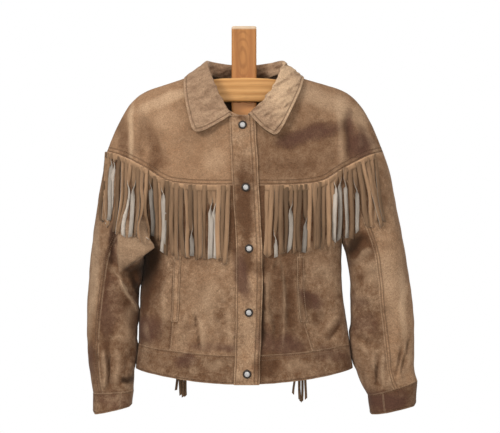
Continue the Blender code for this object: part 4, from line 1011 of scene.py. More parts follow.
def make_fringe(node, line, face, back, settings):
    """A strip under the yoke's seam, cut into strands that hang over the cloth."""
    fringe, trees = FRINGES[node], outer_trees()
    rng = np.random.default_rng(fringe.seed)
    loose, ends = fringe.loose, np.array(fringe.ends, float).T
    points, _ = evenly(line, ROOT_PITCH)
    lengths = lengths_along(points)
    count = int(lengths[-1] / (settings.strand_width + STRAND_GAP))
    pitch = lengths[-1] / count
    template, copies, clump = strand_grid(FRINGE_ROWS), [], 0.0
    tones = rng.uniform(0.50 - 0.1 * loose, 1.34 - 0.2 * loose, count)
    for number in range(count):
        at = (number + 0.5) * lengths[-1] / count
        root = np.array([np.interp(at, lengths, points[:, k]) for k in range(3)])
        root[2] -= 0.0004
        if number % 3 == 0:
            clump = rng.normal(0, 0.030) * loose
        end = float(np.interp(root[0] / MM, *ends)) * MM + rng.normal(0, 0.0035)
        hang = fringe_hang(node, number, root, clump, rng, settings.turned_share)
        centres, acrosses = hanging_strand(root, max(root[2] - end, 0.05), hang, rng, trees,
                                           fringe.way, FRINGE_ROWS)
        acrosses[0] = acrosses[1] = (-fringe.way, 0.0)
        width = pitch * rng.uniform(1.00 - 0.24 * loose, 1.04 - 0.08 * loose)
        copies.append(strand_points(template, centres, acrosses, width, rng))
    strip = strip_points(points, fringe.way, trees)
    piece = repeated(f"{node}_strands", template, copies, [face, back], tones)
    thick(piece)
    dressed(piece, "fringe_suede", node)
    band = make_strip(f"{node}_strip", strip, face, back)
    dressed(band, "fringe_suede")


def strip_points(points, way, trees):
    """The uncut strip's rows of points, close against the cloth."""
    rows = []
    for drop in STRIP_DROPS:
        row = []
        for x, y, z in points[::STRIP_EVERY]:
            surface = cloth_front((x, y, z - drop), way, trees)
            out = y if surface is None else surface
            if drop == 0.0:
                out = y - way * 0.0002
            row.append((x, out + way * STRIP_CLEARANCE, z - drop))
        rows.append(row if way == FRONT else row[::-1])
    return rows


def make_strip(name, rows, face, back):
    """The fringe's uncut upper edge, lighter along its top."""
    band = bmesh.new()
    bmesh.ops.create_grid(band, x_segments=len(rows[0]) - 1, y_segments=len(rows) - 1, size=0.5)
    tones = []
    for vert in band.verts:
        column = round((vert.co.x + 0.5) * (len(rows[0]) - 1))
        row = round((0.5 - vert.co.y) * (len(rows) - 1))
        vert.co = rows[row][column]
        tones.append(STRIP_TONES[row])
    mesh = to_mesh(band, name)
    attribute(mesh, "tone", tones)
    mesh.materials.append(face)
    mesh.materials.append(back)
    mesh.shade_smooth()
    piece = link(bpy.data.objects.new(name, mesh))
    thick(piece)
    return piece


def make_tassel(node, face, back):
    """A few strands side by side from the waist seam."""
    rng, trees = np.random.default_rng(TASSEL_SEEDS[node]), outer_trees()
    low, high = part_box(node)
    template, copies = strand_grid(TASSEL_ROWS), []
    for number in range(TASSEL_STRANDS):
        span = high[0] - low[0] - 2 * TASSEL_INSET
        x = low[0] + TASSEL_INSET + span * number / (TASSEL_STRANDS - 1)
        y = cloth_front((x, 0, high[2]), BACK, trees)
        root = np.array([x, (y or high[1]) + TASSEL_CLEARANCE, high[2]])
        drop = (high[2] - low[2]) * (0.85 if number == 0 else rng.uniform(0.93, 1.0))
        twist = math.radians(rng.uniform(5, 40)) * rng.choice([-1, 1])
        hang = Hang(lean=0.0, drift=0.02, sway=2.5, curl=1.4, twist=twist, twist_from=0.2,
                    lift=0.4)
        centres, acrosses = hanging_strand(root, drop, hang, rng, trees, BACK, TASSEL_ROWS)
        copies.append(strand_points(template, centres, acrosses, TASSEL_WIDTH, rng))
    tones = rng.uniform(0.7, 1.2, TASSEL_STRANDS)
    piece = repeated(f"{node}_strands", template, copies, [face, back], tones)
    thick(piece)
    dressed(piece, "fringe_suede", node)


# ---- stitches --------------------------------------------------------------------------

def stitch_lines(nodes):
    """Every row of stitches on these panels: the cloth it is sewn on and its points."""
    for node, panel in panels.items():
        if node in nodes:
            for where, distances in CUTS[node].stitched.items():
                side = pick(panel.sides, where)
                for distance in distances:
                    yield panel, side.points + side.inward * distance * MM


def make_stitches(name, nodes, settings, material):
    """Stitches as small oval pillows, each along its row and flat on the cloth."""
    template = bmesh.new()
    bmesh.ops.create_icosphere(template, subdivisions=1, radius=0.5)
    ball = np.array([v.co for v in template.verts]) * 2
    copies = []
    for panel, line in stitch_lines(nodes):
        points, tangents = evenly(line, settings.stitch_pitch)
        for point, tangent in zip(points[1:-1], tangents[1:-1]):
            hit, normal = panel.tree.find_nearest(Vector(point))[:2]
            if hit is None:
                continue
            across = np.cross(np.array(normal), tangent)
            across /= np.linalg.norm(across)
            shape = (ball[:, :1] * tangent * settings.stitch_length / 2
                     + ball[:, 1:2] * across * settings.thread / 2
                     + ball[:, 2:] * np.array(normal) * settings.thread / 2)
            copies.append(shape + np.array(hit) + np.array(normal) * settings.thread * 0.12)
    dressed(repeated(name, template, copies, [material]), "suede")


# ---- materials -------------------------------------------------------------------------

NAP_MASKS = ("Cloud", "Brush", "Wrinkle", "Fleck", "Grit")
SHEEN_TINT = (0.95, 0.80, 0.66)
PAINTED_LIGHT_WOOD = (0.90, 0.40, 0.14)      # painted light on the upright below the bar, where the neck's shade falls


def rgba(colour, share=1.0):
    return (*(share * channel for channel in colour), 1)


def numbers(titles, *value):
    """Group sockets that each carry a number."""
    return [(title, "NodeSocketFloat", *value) for title in titles]


def group(name, inputs, outputs):
    """An empty node group with typed sockets, and its Group Input and Output."""
    tree = bpy.data.node_groups.new(name, "ShaderNodeTree")
    for title, kind, value in inputs:
        socket = tree.interface.new_socket(title, in_out="INPUT", socket_type=kind)
        if value is not None:
            socket.default_value = value
    for title, kind in outputs:
        tree.interface.new_socket(title, in_out="OUTPUT", socket_type=kind)
    start, end = tree.nodes.new("NodeGroupInput"), tree.nodes.new("NodeGroupOutput")
    return Recipe(tree), start.outputs, end


class Recipe:
    """Short ways to add the nodes of one tree."""

    def __init__(self, tree):
        self.tree = tree

    def add(self, kind, settings=None, **values):
        node = self.tree.nodes.new(kind)
        for name, value in (settings or {}).items():
            setattr(node, name, value)
        self.set(node, **values)
        return node

    def set(self, node, **values):
        for name, value in values.items():
            self.put(node, name.replace("_", " "), value)

    def put(self, node, name, value):
        socket = node.inputs[int(name) if name.isdigit() else name]
        if isinstance(value, bpy.types.NodeSocket):
            self.tree.links.new(value, socket)
        else:
            socket.default_value = value

    def math(self, operation, first, second=0.0, clamp=False):
        node = self.add("ShaderNodeMath", {"operation": operation, "use_clamp": clamp})
        self.put(node, "0", first)
        self.put(node, "1", second)
        return node.outputs[0]

    def times(self, first, second):
        return self.math("MULTIPLY", first, second)

    def plus(self, first, second):
        return self.math("ADD", first, second)

    def minus(self, first, second, clamp=False):
        return self.math("SUBTRACT", first, second, clamp)

    def noise(self, place, scale, detail=3.0, roughness=0.55, distortion=0.0):
        node = self.add("ShaderNodeTexNoise", None, Vector=place, Scale=scale, Detail=detail,
                        Roughness=roughness, Distortion=distortion)
        return node.outputs[0]

    def mapped(self, value, low, high, start, end):
        node = self.add("ShaderNodeMapRange")
        for name, number in (("Value", value), ("From Min", low), ("From Max", high),
                             ("To Min", start), ("To Max", end)):
            self.put(node, name, number)
        return node.outputs[0]

    def mix(self, share, first, second, blend="MIX"):
        node = self.add("ShaderNodeMix", {"data_type": "RGBA", "blend_type": blend})
        self.put(node, "0", share)
        self.put(node, "6", first)
        self.put(node, "7", second)
        return node.outputs[2]

    def shaded(self, colour, tone):
        """The colour made lighter or darker by a tone round 1."""
        grey = self.add("ShaderNodeCombineColor", None, Red=tone, Green=tone, Blue=tone)
        return self.mix(1.0, colour, grey.outputs[0], "MULTIPLY")

    def rings(self, place, scale, distortion, **values):
        kind = {"wave_type": "RINGS", "rings_direction": "SPHERICAL"}
        node = self.add("ShaderNodeTexWave", kind, Vector=place, Scale=scale,
                        Distortion=distortion, Detail=2.0, **values)
        return node.outputs["Fac"]

    def read(self, name):
        return self.add("ShaderNodeAttribute", {"attribute_name": name}).outputs["Fac"]

    def place(self):
        return self.add("ShaderNodeTexCoord").outputs["Object"]

    def stretched(self, place, scale, shift=(0.0, 0.0, 0.0)):
        node = self.add("ShaderNodeMapping", None, Vector=place, Location=shift, Scale=scale)
        return node.outputs[0]

    def bump(self, look, height, strength, distance):
        node = self.add("ShaderNodeBump", None, Strength=strength, Distance=distance,
                        Height=height)
        self.put(look, "Normal", node.outputs[0])


def nap_group():
    """Brushed nap: soft blotches, brush marks and fine grit, as masks and a height."""
    do, given, end = group("Suede nap", [("Place", "NodeSocketVector", None)],
                           numbers((*NAP_MASKS, "Height")))
    place = given["Place"]
    cloud = do.mapped(do.noise(place, 15.0, 6.0, 0.68, 0.15), 0.38, 0.64, 0.0, 1.0)
    brush = do.mapped(do.noise(place, 60.0, 6.0, 0.78, 0.1), 0.36, 0.66, 0.0, 1.0)
    fleck = do.mapped(do.noise(place, 210.0, 4.0, 0.75), 0.42, 0.66, 0.0, 1.0)
    grit = do.mapped(do.noise(place, 520.0, 2.0, 0.6), 0.3, 0.7, 0.0, 1.0)
    fine = do.noise(place, 1700.0, 1.0, 0.5)
    line = do.math("ABSOLUTE", do.minus(do.noise(place, 38.0, 5.0, 0.66, 0.3), 0.5))
    wrinkle = do.times(do.mapped(line, 0.0, 0.022, 1.0, 0.0), cloud)
    brushed = do.minus(do.times(brush, 1.6), do.times(wrinkle, 0.9))
    height = do.plus(brushed, do.plus(do.times(grit, 0.45), do.times(fine, 0.2)))
    do.set(end, Cloud=cloud, Brush=brush, Wrinkle=wrinkle, Fleck=fleck, Grit=grit,
           Height=height)
    return do.tree


def wear_and_shade_group():
    """Colour after wear, with painted light: stains, rubbed edges, darker seams, crests painted
    lighter and troughs and hollows painted with shade.
    """
    do, given, end = group(
        "Suede wear",
        # Dark stands for stains and painted shade; Rubbed for rubbed nap and painted highlights
        [("Colour", "NodeSocketColor", (0.4, 0.25, 0.15, 1)),
         ("Dark", "NodeSocketColor", (0.13, 0.07, 0.045, 1)),
         ("Purple", "NodeSocketColor", (0.12, 0.075, 0.06, 1)),
         ("Rubbed", "NodeSocketColor", (0.55, 0.4, 0.27, 1)),
         ("Hollow", "NodeSocketColor", (0.02, 0.01, 0.005, 1)), *numbers(NAP_MASKS, 0.5)],
        [("Colour", "NodeSocketColor"), *numbers(["Groove"])])
    calm = do.read("calm")
    busy = do.minus(1.0, calm, clamp=True)
    colour = do.mix(do.times(calm, 0.24), given["Colour"], given["Dark"])
    for title, share, target in (("Cloud", 0.52, "Dark"), ("Brush", 0.54, "Rubbed"),
                                 ("Fleck", 0.38, "Dark"), ("Wrinkle", 0.36, "Dark")):
        amount = do.times(do.times(given[title], share), busy)
        colour = do.mix(amount, colour, given[target])
    rough = do.plus(do.times(given["Brush"], 0.45),
                    do.plus(do.times(given["Cloud"], 0.35), do.times(given["Fleck"], 0.15)))
    # light patches mix rubbed nap with painted highlights; dark patches mix stains with painted
    # shade
    for kind, target, strength in (("light", "Rubbed", 0.85), ("dark", "Dark", 0.86),
                                   ("purple", "Purple", 0.82)):
        broken = do.minus(do.times(do.read(kind), 1.42), do.times(rough, 0.60), clamp=True)
        colour = do.mix(do.times(broken, strength), colour, given[target])
    # crests made lighter: rubbed nap on the ridges, partly painted highlight
    crest = do.mapped(do.read("crest"), 0.1, 1.1, 0.0, 0.28)
    colour = do.mix(crest, colour, given["Rubbed"])
    # troughs made darker: painted shade in the creases
    hollow = do.mapped(do.read("crest"), -0.1, -1.4, 0.0, 0.46)
    colour = do.mix(hollow, colour, given["Dark"])
    # deep patches: painted shade in the hollows
    colour = do.mix(do.times(do.read("deep"), 0.90), colour, given["Hollow"])
    rows = [do.mapped(do.math("ABSOLUTE", do.read(name)), 0.0003, 0.0017, 1.0, 0.0)
            for name in ("row_0", "row_1")]
    groove = do.math("MAXIMUM", *rows)
    colour = do.mix(do.times(groove, 0.42), colour, given["Dark"])
    near_edge = do.mapped(do.read("edge"), 0.0002, 0.0016, 0.30, 0.0)
    colour = do.mix(near_edge, colour, given["Rubbed"])
    grit = do.mapped(given["Grit"], 0.0, 1.0, 0.76, 1.28)
    do.set(end, Colour=do.shaded(colour, grit), Groove=groove)
    return do.tree


def shared_group(name, maker):
    return bpy.data.node_groups.get(name) or maker()


def shader(name):
    """A new material with its Principled shader."""
    material = bpy.data.materials.new(name)
    material.use_nodes = True
    return material, Recipe(material.node_tree), material.node_tree.nodes["Principled BSDF"]


def nap(do, place):
    node = do.add("ShaderNodeGroup", {"node_tree": shared_group("Suede nap", nap_group)})
    do.set(node, Place=place)
    return node.outputs


def napped(do, look, height):
    """What all suede shares: a raised nap, a soft glow and hardly any shine."""
    do.bump(look, height, 0.55, 0.0007)
    do.set(look, Roughness=0.92, Sheen_Weight=bpy.context.scene.jacket_suede.sheen,
           Sheen_Roughness=0.45, Sheen_Tint=rgba(SHEEN_TINT), Specular_IOR_Level=0.15)


def worn_and_shaded_suede(name, colour):
    """The skins' outer side, with its stains, rubbed edges, seams and painted light and shade."""
    settings = bpy.context.scene.jacket_suede
    material, do, look = shader(name)
    masks = nap(do, do.place())
    worn_and_shaded = do.add("ShaderNodeGroup", {"node_tree": shared_group("Suede wear", wear_and_shade_group)})
    do.set(worn_and_shaded, Colour=rgba(colour), Dark=rgba(settings.dark), Purple=rgba(settings.purple),
           Rubbed=rgba(settings.rubbed_and_highlight), Hollow=rgba(settings.hollow))
    do.set(worn_and_shaded, **{title: masks[title] for title in NAP_MASKS})
    do.set(look, Base_Color=worn_and_shaded.outputs["Colour"])
    napped(do, look, do.minus(masks["Height"], do.times(worn_and_shaded.outputs["Groove"], 2.6)))
    return material


def raw_suede(name, colour, toned=True):
    """Unworn suede with streaks along its length; each strand can have its own tone."""
    material, do, look = shader(name)
    masks = nap(do, do.stretched(do.place(), (1.0, 1.0, 0.10)))
    streak = do.plus(do.times(masks["Brush"], 0.5), do.times(masks["Fleck"], 0.35))
    streaked = do.mix(streak, rgba(colour), rgba(colour, 0.5))
    if toned:
        streaked = do.shaded(streaked, do.read("tone"))
    do.set(look, Base_Color=streaked)
    napped(do, look, masks["Height"])
    return material


def wood_group():
    """Straight grain along one axis, with arched figure: a tone and fine pores."""
    do, given, end = group("Wood grain", [("Place", "NodeSocketVector", None)],
                           numbers(("Tone", "Pores")))
    slow = do.rings(given["Place"], 26.0, 5.0, Detail_Scale=1.4)
    fibres = do.noise(given["Place"], 190.0, 4.0, 0.65, 0.2)
    tone = do.plus(do.times(slow, 0.42), do.times(fibres, 0.75))
    pores = do.mapped(do.noise(given["Place"], 420.0, 3.0, 0.7), 0.54, 0.70, 0.0, 1.0)
    do.set(end, Tone=tone, Pores=pores)
    return do.tree


def upright_figure(do, colour, dark, end_band):
    """The upright's arches, painted light on the wood below the bar and its pale top end."""
    place = do.place()
    apart = do.add("ShaderNodeSeparateXYZ", None, Vector=place).outputs
    arches = do.rings(do.stretched(place, (1.0, 1.0, 0.42), (0.002, 0.0, 0.026)), 62.0, 2.5)
    off = do.math("ABSOLUTE", do.plus(apart["X"], 0.002))
    figure = do.times(do.mapped(off, 0.004, 0.013, 0.62, 0.0),
                      do.mapped(arches, 0.45, 0.95, 0.0, 1.0))
    colour = do.mix(figure, colour, rgba(dark, 0.8))
    # painted light: the upright below the bar is made paler, as if lit, though the jacket's neck
    # shades it
    painted_light = do.mapped(apart["Z"], -0.138, -0.150, 0.0, 0.85)
    colour = do.mix(painted_light, colour, rgba(PAINTED_LIGHT_WOOD))
    band = do.mapped(apart["Z"], -0.0075, -0.0045, 0.0, 0.75)
    return do.mix(band, colour, rgba(end_band))


def wood(name, light, dark, stretch, end_band=None):
    material, do, look = shader(name)
    grain = do.add("ShaderNodeGroup", {"node_tree": shared_group("Wood grain", wood_group)})
    do.set(grain, Place=do.stretched(do.place(), stretch))
    tone = do.mapped(grain.outputs["Tone"], 0.3, 0.85, 0.0, 1.0)
    colour = do.mix(tone, rgba(light), rgba(dark))
    colour = do.mix(do.times(grain.outputs["Pores"], 0.35), colour, rgba(dark, 0.4))
    if end_band is not None:
        colour = upright_figure(do, colour, dark, end_band)
    do.bump(look, tone, 0.25, 0.0004)
    do.set(look, Base_Color=colour, Roughness=0.48, Specular_IOR_Level=0.25)
    return material


def metal(name, colour, metallic, roughness):
    material, do, look = shader(name)
    worn = do.mapped(do.noise(do.place(), 900.0, 3.0, 0.6), 0.35, 0.65, 0.0, 1.0)
    do.set(look, Base_Color=do.mix(worn, rgba(colour), rgba(colour, 0.62)),
           Roughness=do.mapped(worn, 0.0, 1.0, roughness, roughness + 0.18),
           Metallic=metallic)
    return material


def thread_finish(colour):
    material, do, look = shader("thread")
    twist = do.noise(do.place(), 1500.0, 2.0)
    do.set(look, Base_Color=do.mix(twist, rgba(colour), rgba(colour, 0.5)), Roughness=0.7)
    return material


# ---- what a user would change ----------------------------------------------------------

def colour_setting(name, description, default):
    return bpy.props.FloatVectorProperty(name=name, description=description, default=default,
                                         subtype="COLOR", size=3, min=0.0, max=1.0)


def number_setting(name, description, default, low, high, **kind):
    return bpy.props.FloatProperty(name=name, description=description, default=default,
                                   min=low, max=high, **kind)


def lamp_setting(name, default):
    return number_setting(name, f"Power of the {name.lower()}, in watts", default, 0.0, 500.0)


class SuedeSettings(bpy.types.PropertyGroup):
    """Colours and finish of the suede."""

    colour: colour_setting("Suede", "Colour of clean suede", (0.310, 0.174, 0.092))
    darker: colour_setting("Darker suede", "Colour of the under sleeves, sides and bands",
                           (0.215, 0.112, 0.056))
    paler: colour_setting("Collar suede", "Colour of the collar", (0.345, 0.218, 0.134))
    # dark stains, and the painted shade in creases, hollows and under the fringe
    dark: colour_setting("Dark stain and shade", "Colour that stains and hollows tend to",
                         (0.072, 0.029, 0.012))
    purple: colour_setting("Cool stain", "Colour of the cooler brown stains",
                           (0.084, 0.038, 0.025))
    # rubbed nap, and the painted highlights on ridges and lit edges
    rubbed_and_highlight: colour_setting("Rubbed nap and highlight", "Colour of worn, brushed nap", (0.53, 0.360, 0.222))
    hollow: colour_setting("Deep hollow", "Colour of the hollows that light hardly reaches",
                           (0.022, 0.010, 0.004))
    # painted shade: the inner side is made near black to stand for the shade inside the jacket
    inside: colour_setting("Inside", "Colour of the skins' inner side", (0.060, 0.036, 0.022))
    sheen: number_setting("Sheen", "Soft glow of the nap", 0.08, 0.0, 1.0, subtype="FACTOR")


class FringeSettings(bpy.types.PropertyGroup):
    """Sizes and colours of the fringe and tassels."""

    strand_width: number_setting("Strand width", "Width of a cut strand",
                                 0.0078, 0.003, 0.02, unit="LENGTH")
    turned_share: number_setting("Turned strands", "Share of the back's strands turned over",
                                 0.20, 0.0, 1.0, subtype="FACTOR")
    face: colour_setting("Face", "Colour of a strand's face", (0.320, 0.190, 0.105))
    back: colour_setting("Back", "Colour of a strand's fleshy back", (0.50, 0.425, 0.35))


class StitchSettings(bpy.types.PropertyGroup):
    """Sizes and colour of the topstitching."""

    stitch_length: number_setting("Stitch length", "Length of a stitch",
                                  0.0027, 0.001, 0.01, unit="LENGTH")
    stitch_pitch: number_setting("Stitch pitch", "From the start of one stitch to the next",
                                 0.0037, 0.001, 0.02, unit="LENGTH")
    thread: number_setting("Thread", "Thickness of the thread",
                           0.0008, 0.0002, 0.003, unit="LENGTH")
    colour: colour_setting("Thread colour", "Colour of the thread", (0.26, 0.155, 0.085))


class HangerSettings(bpy.types.PropertyGroup):
    """Colours of the wooden cross hanger and the snaps."""

    bar_light: colour_setting("Bar, light", "Light grain of the crossbar",
                              (0.62, 0.325, 0.112))
    bar_dark: colour_setting("Bar, dark", "Dark grain of the crossbar", (0.44, 0.200, 0.055))
    post_light: colour_setting("Upright, light", "Light grain of the upright",
                               (0.44, 0.190, 0.055))
    post_dark: colour_setting("Upright, dark", "Dark grain of the upright",
                              (0.33, 0.128, 0.034))
    post_end: colour_setting("Upright's end", "Pale band at its top end", (0.66, 0.53, 0.38))
    ring: colour_setting("Snap ring", "Colour of the snaps' rings", (0.040, 0.028, 0.020))
    cap_share: number_setting("Cap's share", "Snap cap's width over the ring's",
                              0.60, 0.3, 0.8, subtype="FACTOR")
    pearl: colour_setting("Snap cap", "Colour of the snaps' caps", (0.52, 0.50, 0.48))


class StageSettings(bpy.types.PropertyGroup):
    """The floor, the light and the camera."""

    floor_drop: number_setting("Floor", "Height of the floor", -1.25, -3.0, -0.8,
                               unit="LENGTH")
    floor_half: number_setting("Floor's reach", "Half of the floor's side", 1.5, 0.5, 30.0,
                               unit="LENGTH")
    world: number_setting("Surrounding light", "Strength of the world", 0.28, 0.0, 4.0)
    backdrop: number_setting("Backdrop", "How bright the world looks", 1.0, 0.0, 4.0)
    key: lamp_setting("Key light", 36.0)
    front: lamp_setting("Front light", 20.0)
    fill: lamp_setting("Fill light", 13.0)
    top: lamp_setting("Top light", 12.0)
    rear: lamp_setting("Rear light", 50.0)
    lens: number_setting("Lens", "Focal length, in millimetres", 96.0, 20.0, 300.0)


# ---- operators -------------------------------------------------------------------------

def suede_for(slot):
    """The suede of one slot, made once."""
    name = f"{slot}_finish"
    if name in bpy.data.materials:
        return bpy.data.materials[name]
    settings = bpy.context.scene.jacket_suede
    colours = {"suede": settings.colour, "dark_suede": settings.darker,
               "pale_suede": settings.paler}
    return worn_and_shaded_suede(name, colours[slot])


def make_group(name):
    for node in GROUPS[name]:
        make_panel(node)


class JACKET_OT_panels(bpy.types.Operator):
    """Make the yokes, fronts, side fronts and back."""

    bl_idname = "jacket.panels"
    bl_label = "Body panels"

    def execute(self, context):
        make_group("panels")
        return {"FINISHED"}


class JACKET_OT_sleeves(bpy.types.Operator):
    """Make the sleeves' upper and under pieces."""

    bl_idname = "jacket.sleeves"
    bl_label = "Sleeves"

    def execute(self, context):
        make_group("sleeves")
        return {"FINISHED"}


class JACKET_OT_bands(bpy.types.Operator):
    """Make the cuffs and the waistband."""

    bl_idname = "jacket.bands"
    bl_label = "Cuffs and waistband"

    def execute(self, context):
        make_group("bands")
        return {"FINISHED"}


class JACKET_OT_front_details(bpy.types.Operator):
    """Make the placket and the pocket welts."""

    bl_idname = "jacket.front_details"
    bl_label = "Placket and welts"

    def execute(self, context):
        make_group("front_details")
        return {"FINISHED"}


class JACKET_OT_collar(bpy.types.Operator):
    """Make the folded collar."""

    bl_idname = "jacket.collar"
    bl_label = "Collar"

    def execute(self, context):
        make_group("collar")
        return {"FINISHED"}


def seam_line(node, low, high):
    """The yoke's lower edge between two values of X, from left to right."""
    rows = evenly(pick(panels[node].sides, "bottom").points, 0.002)[0]
    if rows[0, 0] > rows[-1, 0]:
        rows = rows[::-1]
    return rows[(rows[:, 0] >= low) & (rows[:, 0] <= high)]


class JACKET_OT_fringe(bpy.types.Operator):
    """Cut the fringe and hang it from the yokes' seams."""

    bl_idname = "jacket.fringe"
    bl_label = "Fringe"

    def execute(self, context):
        settings = context.scene.jacket_fringe
        face = raw_suede("fringe_face", settings.face)
        back = raw_suede("fringe_back", settings.back)
        for node, fringe in FRINGES.items():
            low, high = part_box(node)
            line = seam_line(fringe.yoke, low[0], high[0])
            if len(line) < 4:
                raise RuntimeError(f"{node}: no seam found to hang it from")
            make_fringe(node, line, face, back, settings)
        return {"FINISHED"}


class JACKET_OT_tassels(bpy.types.Operator):
    """Hang the two tassels from the back's waist seam."""

    bl_idname = "jacket.tassels"
    bl_label = "Tassels"

    def execute(self, context):
        colour = context.scene.jacket_fringe.face
        face = raw_suede("tassel_face", rgba(colour, 0.70)[:3])
        back = raw_suede("tassel_back", rgba(colour, 0.62)[:3])
        for node in TASSEL_SEEDS:
            make_tassel(node, face, back)
        return {"FINISHED"}


class JACKET_OT_stitching(bpy.types.Operator):
    """Sew the rows of topstitching."""

    bl_idname = "jacket.stitching"
    bl_label = "Stitching"

    def execute(self, context):
        settings = context.scene.jacket_stitches
        thread = thread_finish(settings.colour)
        on_body = [node for node in CUTS if node not in GROUPS["sleeves"]]
        make_stitches("body_stitching", on_body, settings, thread)
        make_stitches("sleeve_stitching", GROUPS["sleeves"], settings, thread)
        return {"FINISHED"}


def spun(name, profile, centre, material, slot, node):
    """A turned piece that faces forward, from (radius, height) rows."""
    built = bmesh.new()
    verts = [built.verts.new((radius, -height, 0)) for radius, height in profile]
    edges = [built.edges.new(pair) for pair in zip(verts, verts[1:])]
    bmesh.ops.spin(built, geom=verts + edges, axis=(0, 1, 0), cent=(0, 0, 0),
                   angle=2 * math.pi, steps=SPIN_STEPS, use_merge=True)
    bmesh.ops.remove_doubles(built, verts=built.verts, dist=1e-6)
    bmesh.ops.recalc_face_normals(built, faces=built.faces)
    bmesh.ops.translate(built, verts=built.verts, vec=centre)
    mesh = to_mesh(built, name)
    mesh.materials.append(material)
    mesh.shade_smooth()
    dressed(link(bpy.data.objects.new(name, mesh)), slot, node)


def ring_profile(radius, cap, deep):
    """A rounded ring round the cap, from its inner wall over its crest and back."""
    return [(cap + 0.0001, deep * 0.45), (cap + 0.0003, deep * 0.85),
            (cap + 0.0009, deep * 1.05), (radius * 0.84, deep * 1.05),
            (radius * 0.95, deep * 0.80), (radius, deep * 0.40), (radius, 0.0),
            (cap + 0.0001, 0.0), (cap + 0.0001, deep * 0.45)]


def dome_profile(cap, proud):
    crown = [(cap * math.sin(a), proud * (0.62 + 0.38 * math.cos(a)))
             for a in np.linspace(0.2, math.pi / 2, 7)]
    return [(0.0, proud), *crown, (cap, 0.0), (0.0, 0.0)]


def make_snap(number, ring, pearl, cap_share):
    low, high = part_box(f"snap_ring_{number}")
    radius, back = (high[0] - low[0]) / 2, high[1]
    centre = Vector(((low[0] + high[0]) / 2, back, (low[2] + high[2]) / 2))
    cap, proud = radius * cap_share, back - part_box(f"snap_cap_{number}")[0][1]
    spun(f"snap_ring_{number}_metal", ring_profile(radius, cap, back - low[1]), centre, ring,
         "snap_steel", f"snap_ring_{number}")
    spun(f"snap_cap_{number}_pearl", dome_profile(cap, proud), centre, pearl, "snap_pearl",
         f"snap_cap_{number}")


class JACKET_OT_snaps(bpy.types.Operator):
    """Set the five snaps on the placket."""

    bl_idname = "jacket.snaps"
    bl_label = "Snaps"

    def execute(self, context):
        settings = context.scene.jacket_hanger
        ring = metal("snap_ring_finish", settings.ring, 0.5, 0.38)
        pearl = metal("snap_pearl_finish", settings.pearl, 0.15, 0.28)
        for number in range(1, SNAP_COUNT + 1):
            make_snap(number, ring, pearl, settings.cap_share)
        return {"FINISHED"}


class JACKET_OT_hanger(bpy.types.Operator):
    """Finish the wooden cross hanger."""

    bl_idname = "jacket.hanger"
    bl_label = "Hanger"

    def execute(self, context):
        settings = context.scene.jacket_hanger
        finishes = {
            "crossbar": wood("crossbar_wood", settings.bar_light, settings.bar_dark,
                             (0.06, 1.0, 1.0)),
            "upright": wood("upright_wood", settings.post_light, settings.post_dark,
                            (1.0, 1.0, 0.07), settings.post_end),
        }
        for node, finish in finishes.items():
            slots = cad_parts[node].data.materials
            slots.clear()
            slots.append(finish)
        return {"FINISHED"}


# Each lamp's size, its place and the point that it is aimed at, in metres.
LAMPS = {
    "key": (0.7, (-1.35, -1.6, 0.80), (0, -0.05, -0.38)),
    "front": (0.8, (0.25, -2.9, -0.12), (0, -0.05, -0.35)),
    "fill": (1.6, (1.7, -1.8, 0.2), (0, -0.05, -0.4)),
    "rear": (1.2, (0.9, 2.6, 0.6), (0, 0, -0.4)),
    "top": (1.4, (0.1, -0.5, 1.5), (0, -0.02, -0.3)),
}
CAMERA_PLACE, SENSOR_WIDTH = (0.0117, -2.62, -0.3734), 36.0


def area_light(name, power, size, place, aim):
    lamp = bpy.data.lights.new(name, "AREA")
    lamp.energy, lamp.size = power, size
    obj = link(bpy.data.objects.new(name, lamp))
    obj.location = place
    obj.rotation_euler = (Vector(aim) - Vector(place)).to_track_quat("-Z", "Y").to_euler()


def make_floor(half, height):
    ground = bmesh.new()
    bmesh.ops.create_grid(ground, x_segments=1, y_segments=1, size=half)
    bmesh.ops.translate(ground, verts=ground.verts, vec=(0, 0, height))
    mesh = to_mesh(ground, "floor")
    material, do, look = shader("floor_paint")
    do.set(look, Base_Color=(0.86, 0.86, 0.86, 1), Roughness=0.9)
    mesh.materials.append(material)
    link(bpy.data.objects.new("floor", mesh))


def make_world(strength, backdrop):
    """White light from all round, which looks as bright as the backdrop."""
    world = bpy.data.worlds.new("studio")
    world.use_nodes = True
    do = Recipe(world.node_tree)
    seen = do.add("ShaderNodeLightPath").outputs["Is Camera Ray"]
    do.set(world.node_tree.nodes["Background"], Color=(1.0, 1.0, 1.0, 1),
           Strength=do.mapped(seen, 0.0, 1.0, strength, backdrop))
    return world


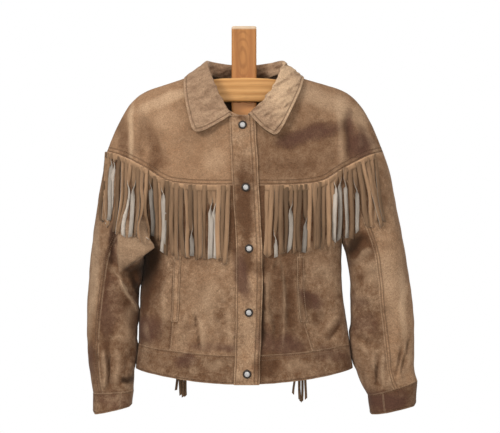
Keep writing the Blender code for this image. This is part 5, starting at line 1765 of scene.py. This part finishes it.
class JACKET_OT_stage(bpy.types.Operator):
    """Set up the floor, the lights, the world and the camera."""

    bl_idname = "jacket.stage"
    bl_label = "Stage"

    def execute(self, context):
        settings = context.scene.jacket_stage
        make_floor(settings.floor_half, settings.floor_drop)
        context.scene.world = make_world(settings.world, settings.backdrop)
        context.scene.view_settings.view_transform = "Standard"
        for name, lamp in LAMPS.items():
            area_light(name, getattr(settings, name), *lamp)
        lens = bpy.data.cameras.new("camera")
        lens.lens, lens.sensor_width = settings.lens, SENSOR_WIDTH
        camera = link(bpy.data.objects.new("camera", lens))
        camera.location = CAMERA_PLACE
        camera.rotation_euler = (math.pi / 2, 0, 0)
        context.scene.camera = camera
        return {"FINISHED"}


class JACKET_PT_sidebar(bpy.types.Panel):
    """The jacket's steps and settings."""

    bl_idname = "JACKET_PT_sidebar"
    bl_label = "Fringed jacket"
    bl_space_type = "VIEW_3D"
    bl_region_type = "UI"
    bl_category = "Jacket"

    def draw(self, context):
        for step in STEPS:
            self.layout.operator(step.bl_idname)
        for name in SETTINGS:
            box = self.layout.box()
            settings = getattr(context.scene, name)
            for prop in settings.bl_rna.properties:
                if prop.identifier not in ("rna_type", "name"):
                    box.prop(settings, prop.identifier)


SETTINGS = {"jacket_suede": SuedeSettings, "jacket_fringe": FringeSettings,
            "jacket_stitches": StitchSettings, "jacket_hanger": HangerSettings,
            "jacket_stage": StageSettings}
STEPS = [JACKET_OT_panels, JACKET_OT_sleeves, JACKET_OT_bands, JACKET_OT_front_details,
         JACKET_OT_collar, JACKET_OT_fringe, JACKET_OT_tassels, JACKET_OT_stitching,
         JACKET_OT_snaps, JACKET_OT_hanger, JACKET_OT_stage]


def register():
    for cls in [*SETTINGS.values(), *STEPS, JACKET_PT_sidebar]:
        bpy.utils.register_class(cls)
    for name, cls in SETTINGS.items():
        setattr(bpy.types.Scene, name, bpy.props.PointerProperty(type=cls))


def unregister():
    for name in SETTINGS:
        delattr(bpy.types.Scene, name)
    for cls in reversed([*SETTINGS.values(), *STEPS, JACKET_PT_sidebar]):
        bpy.utils.unregister_class(cls)


def main():
    register()
    for step in STEPS:
        area, name = step.bl_idname.split(".")
        getattr(getattr(bpy.ops, area), name)()
    bpy.context.view_layer.update()


if __name__ == "__main__":
    main()
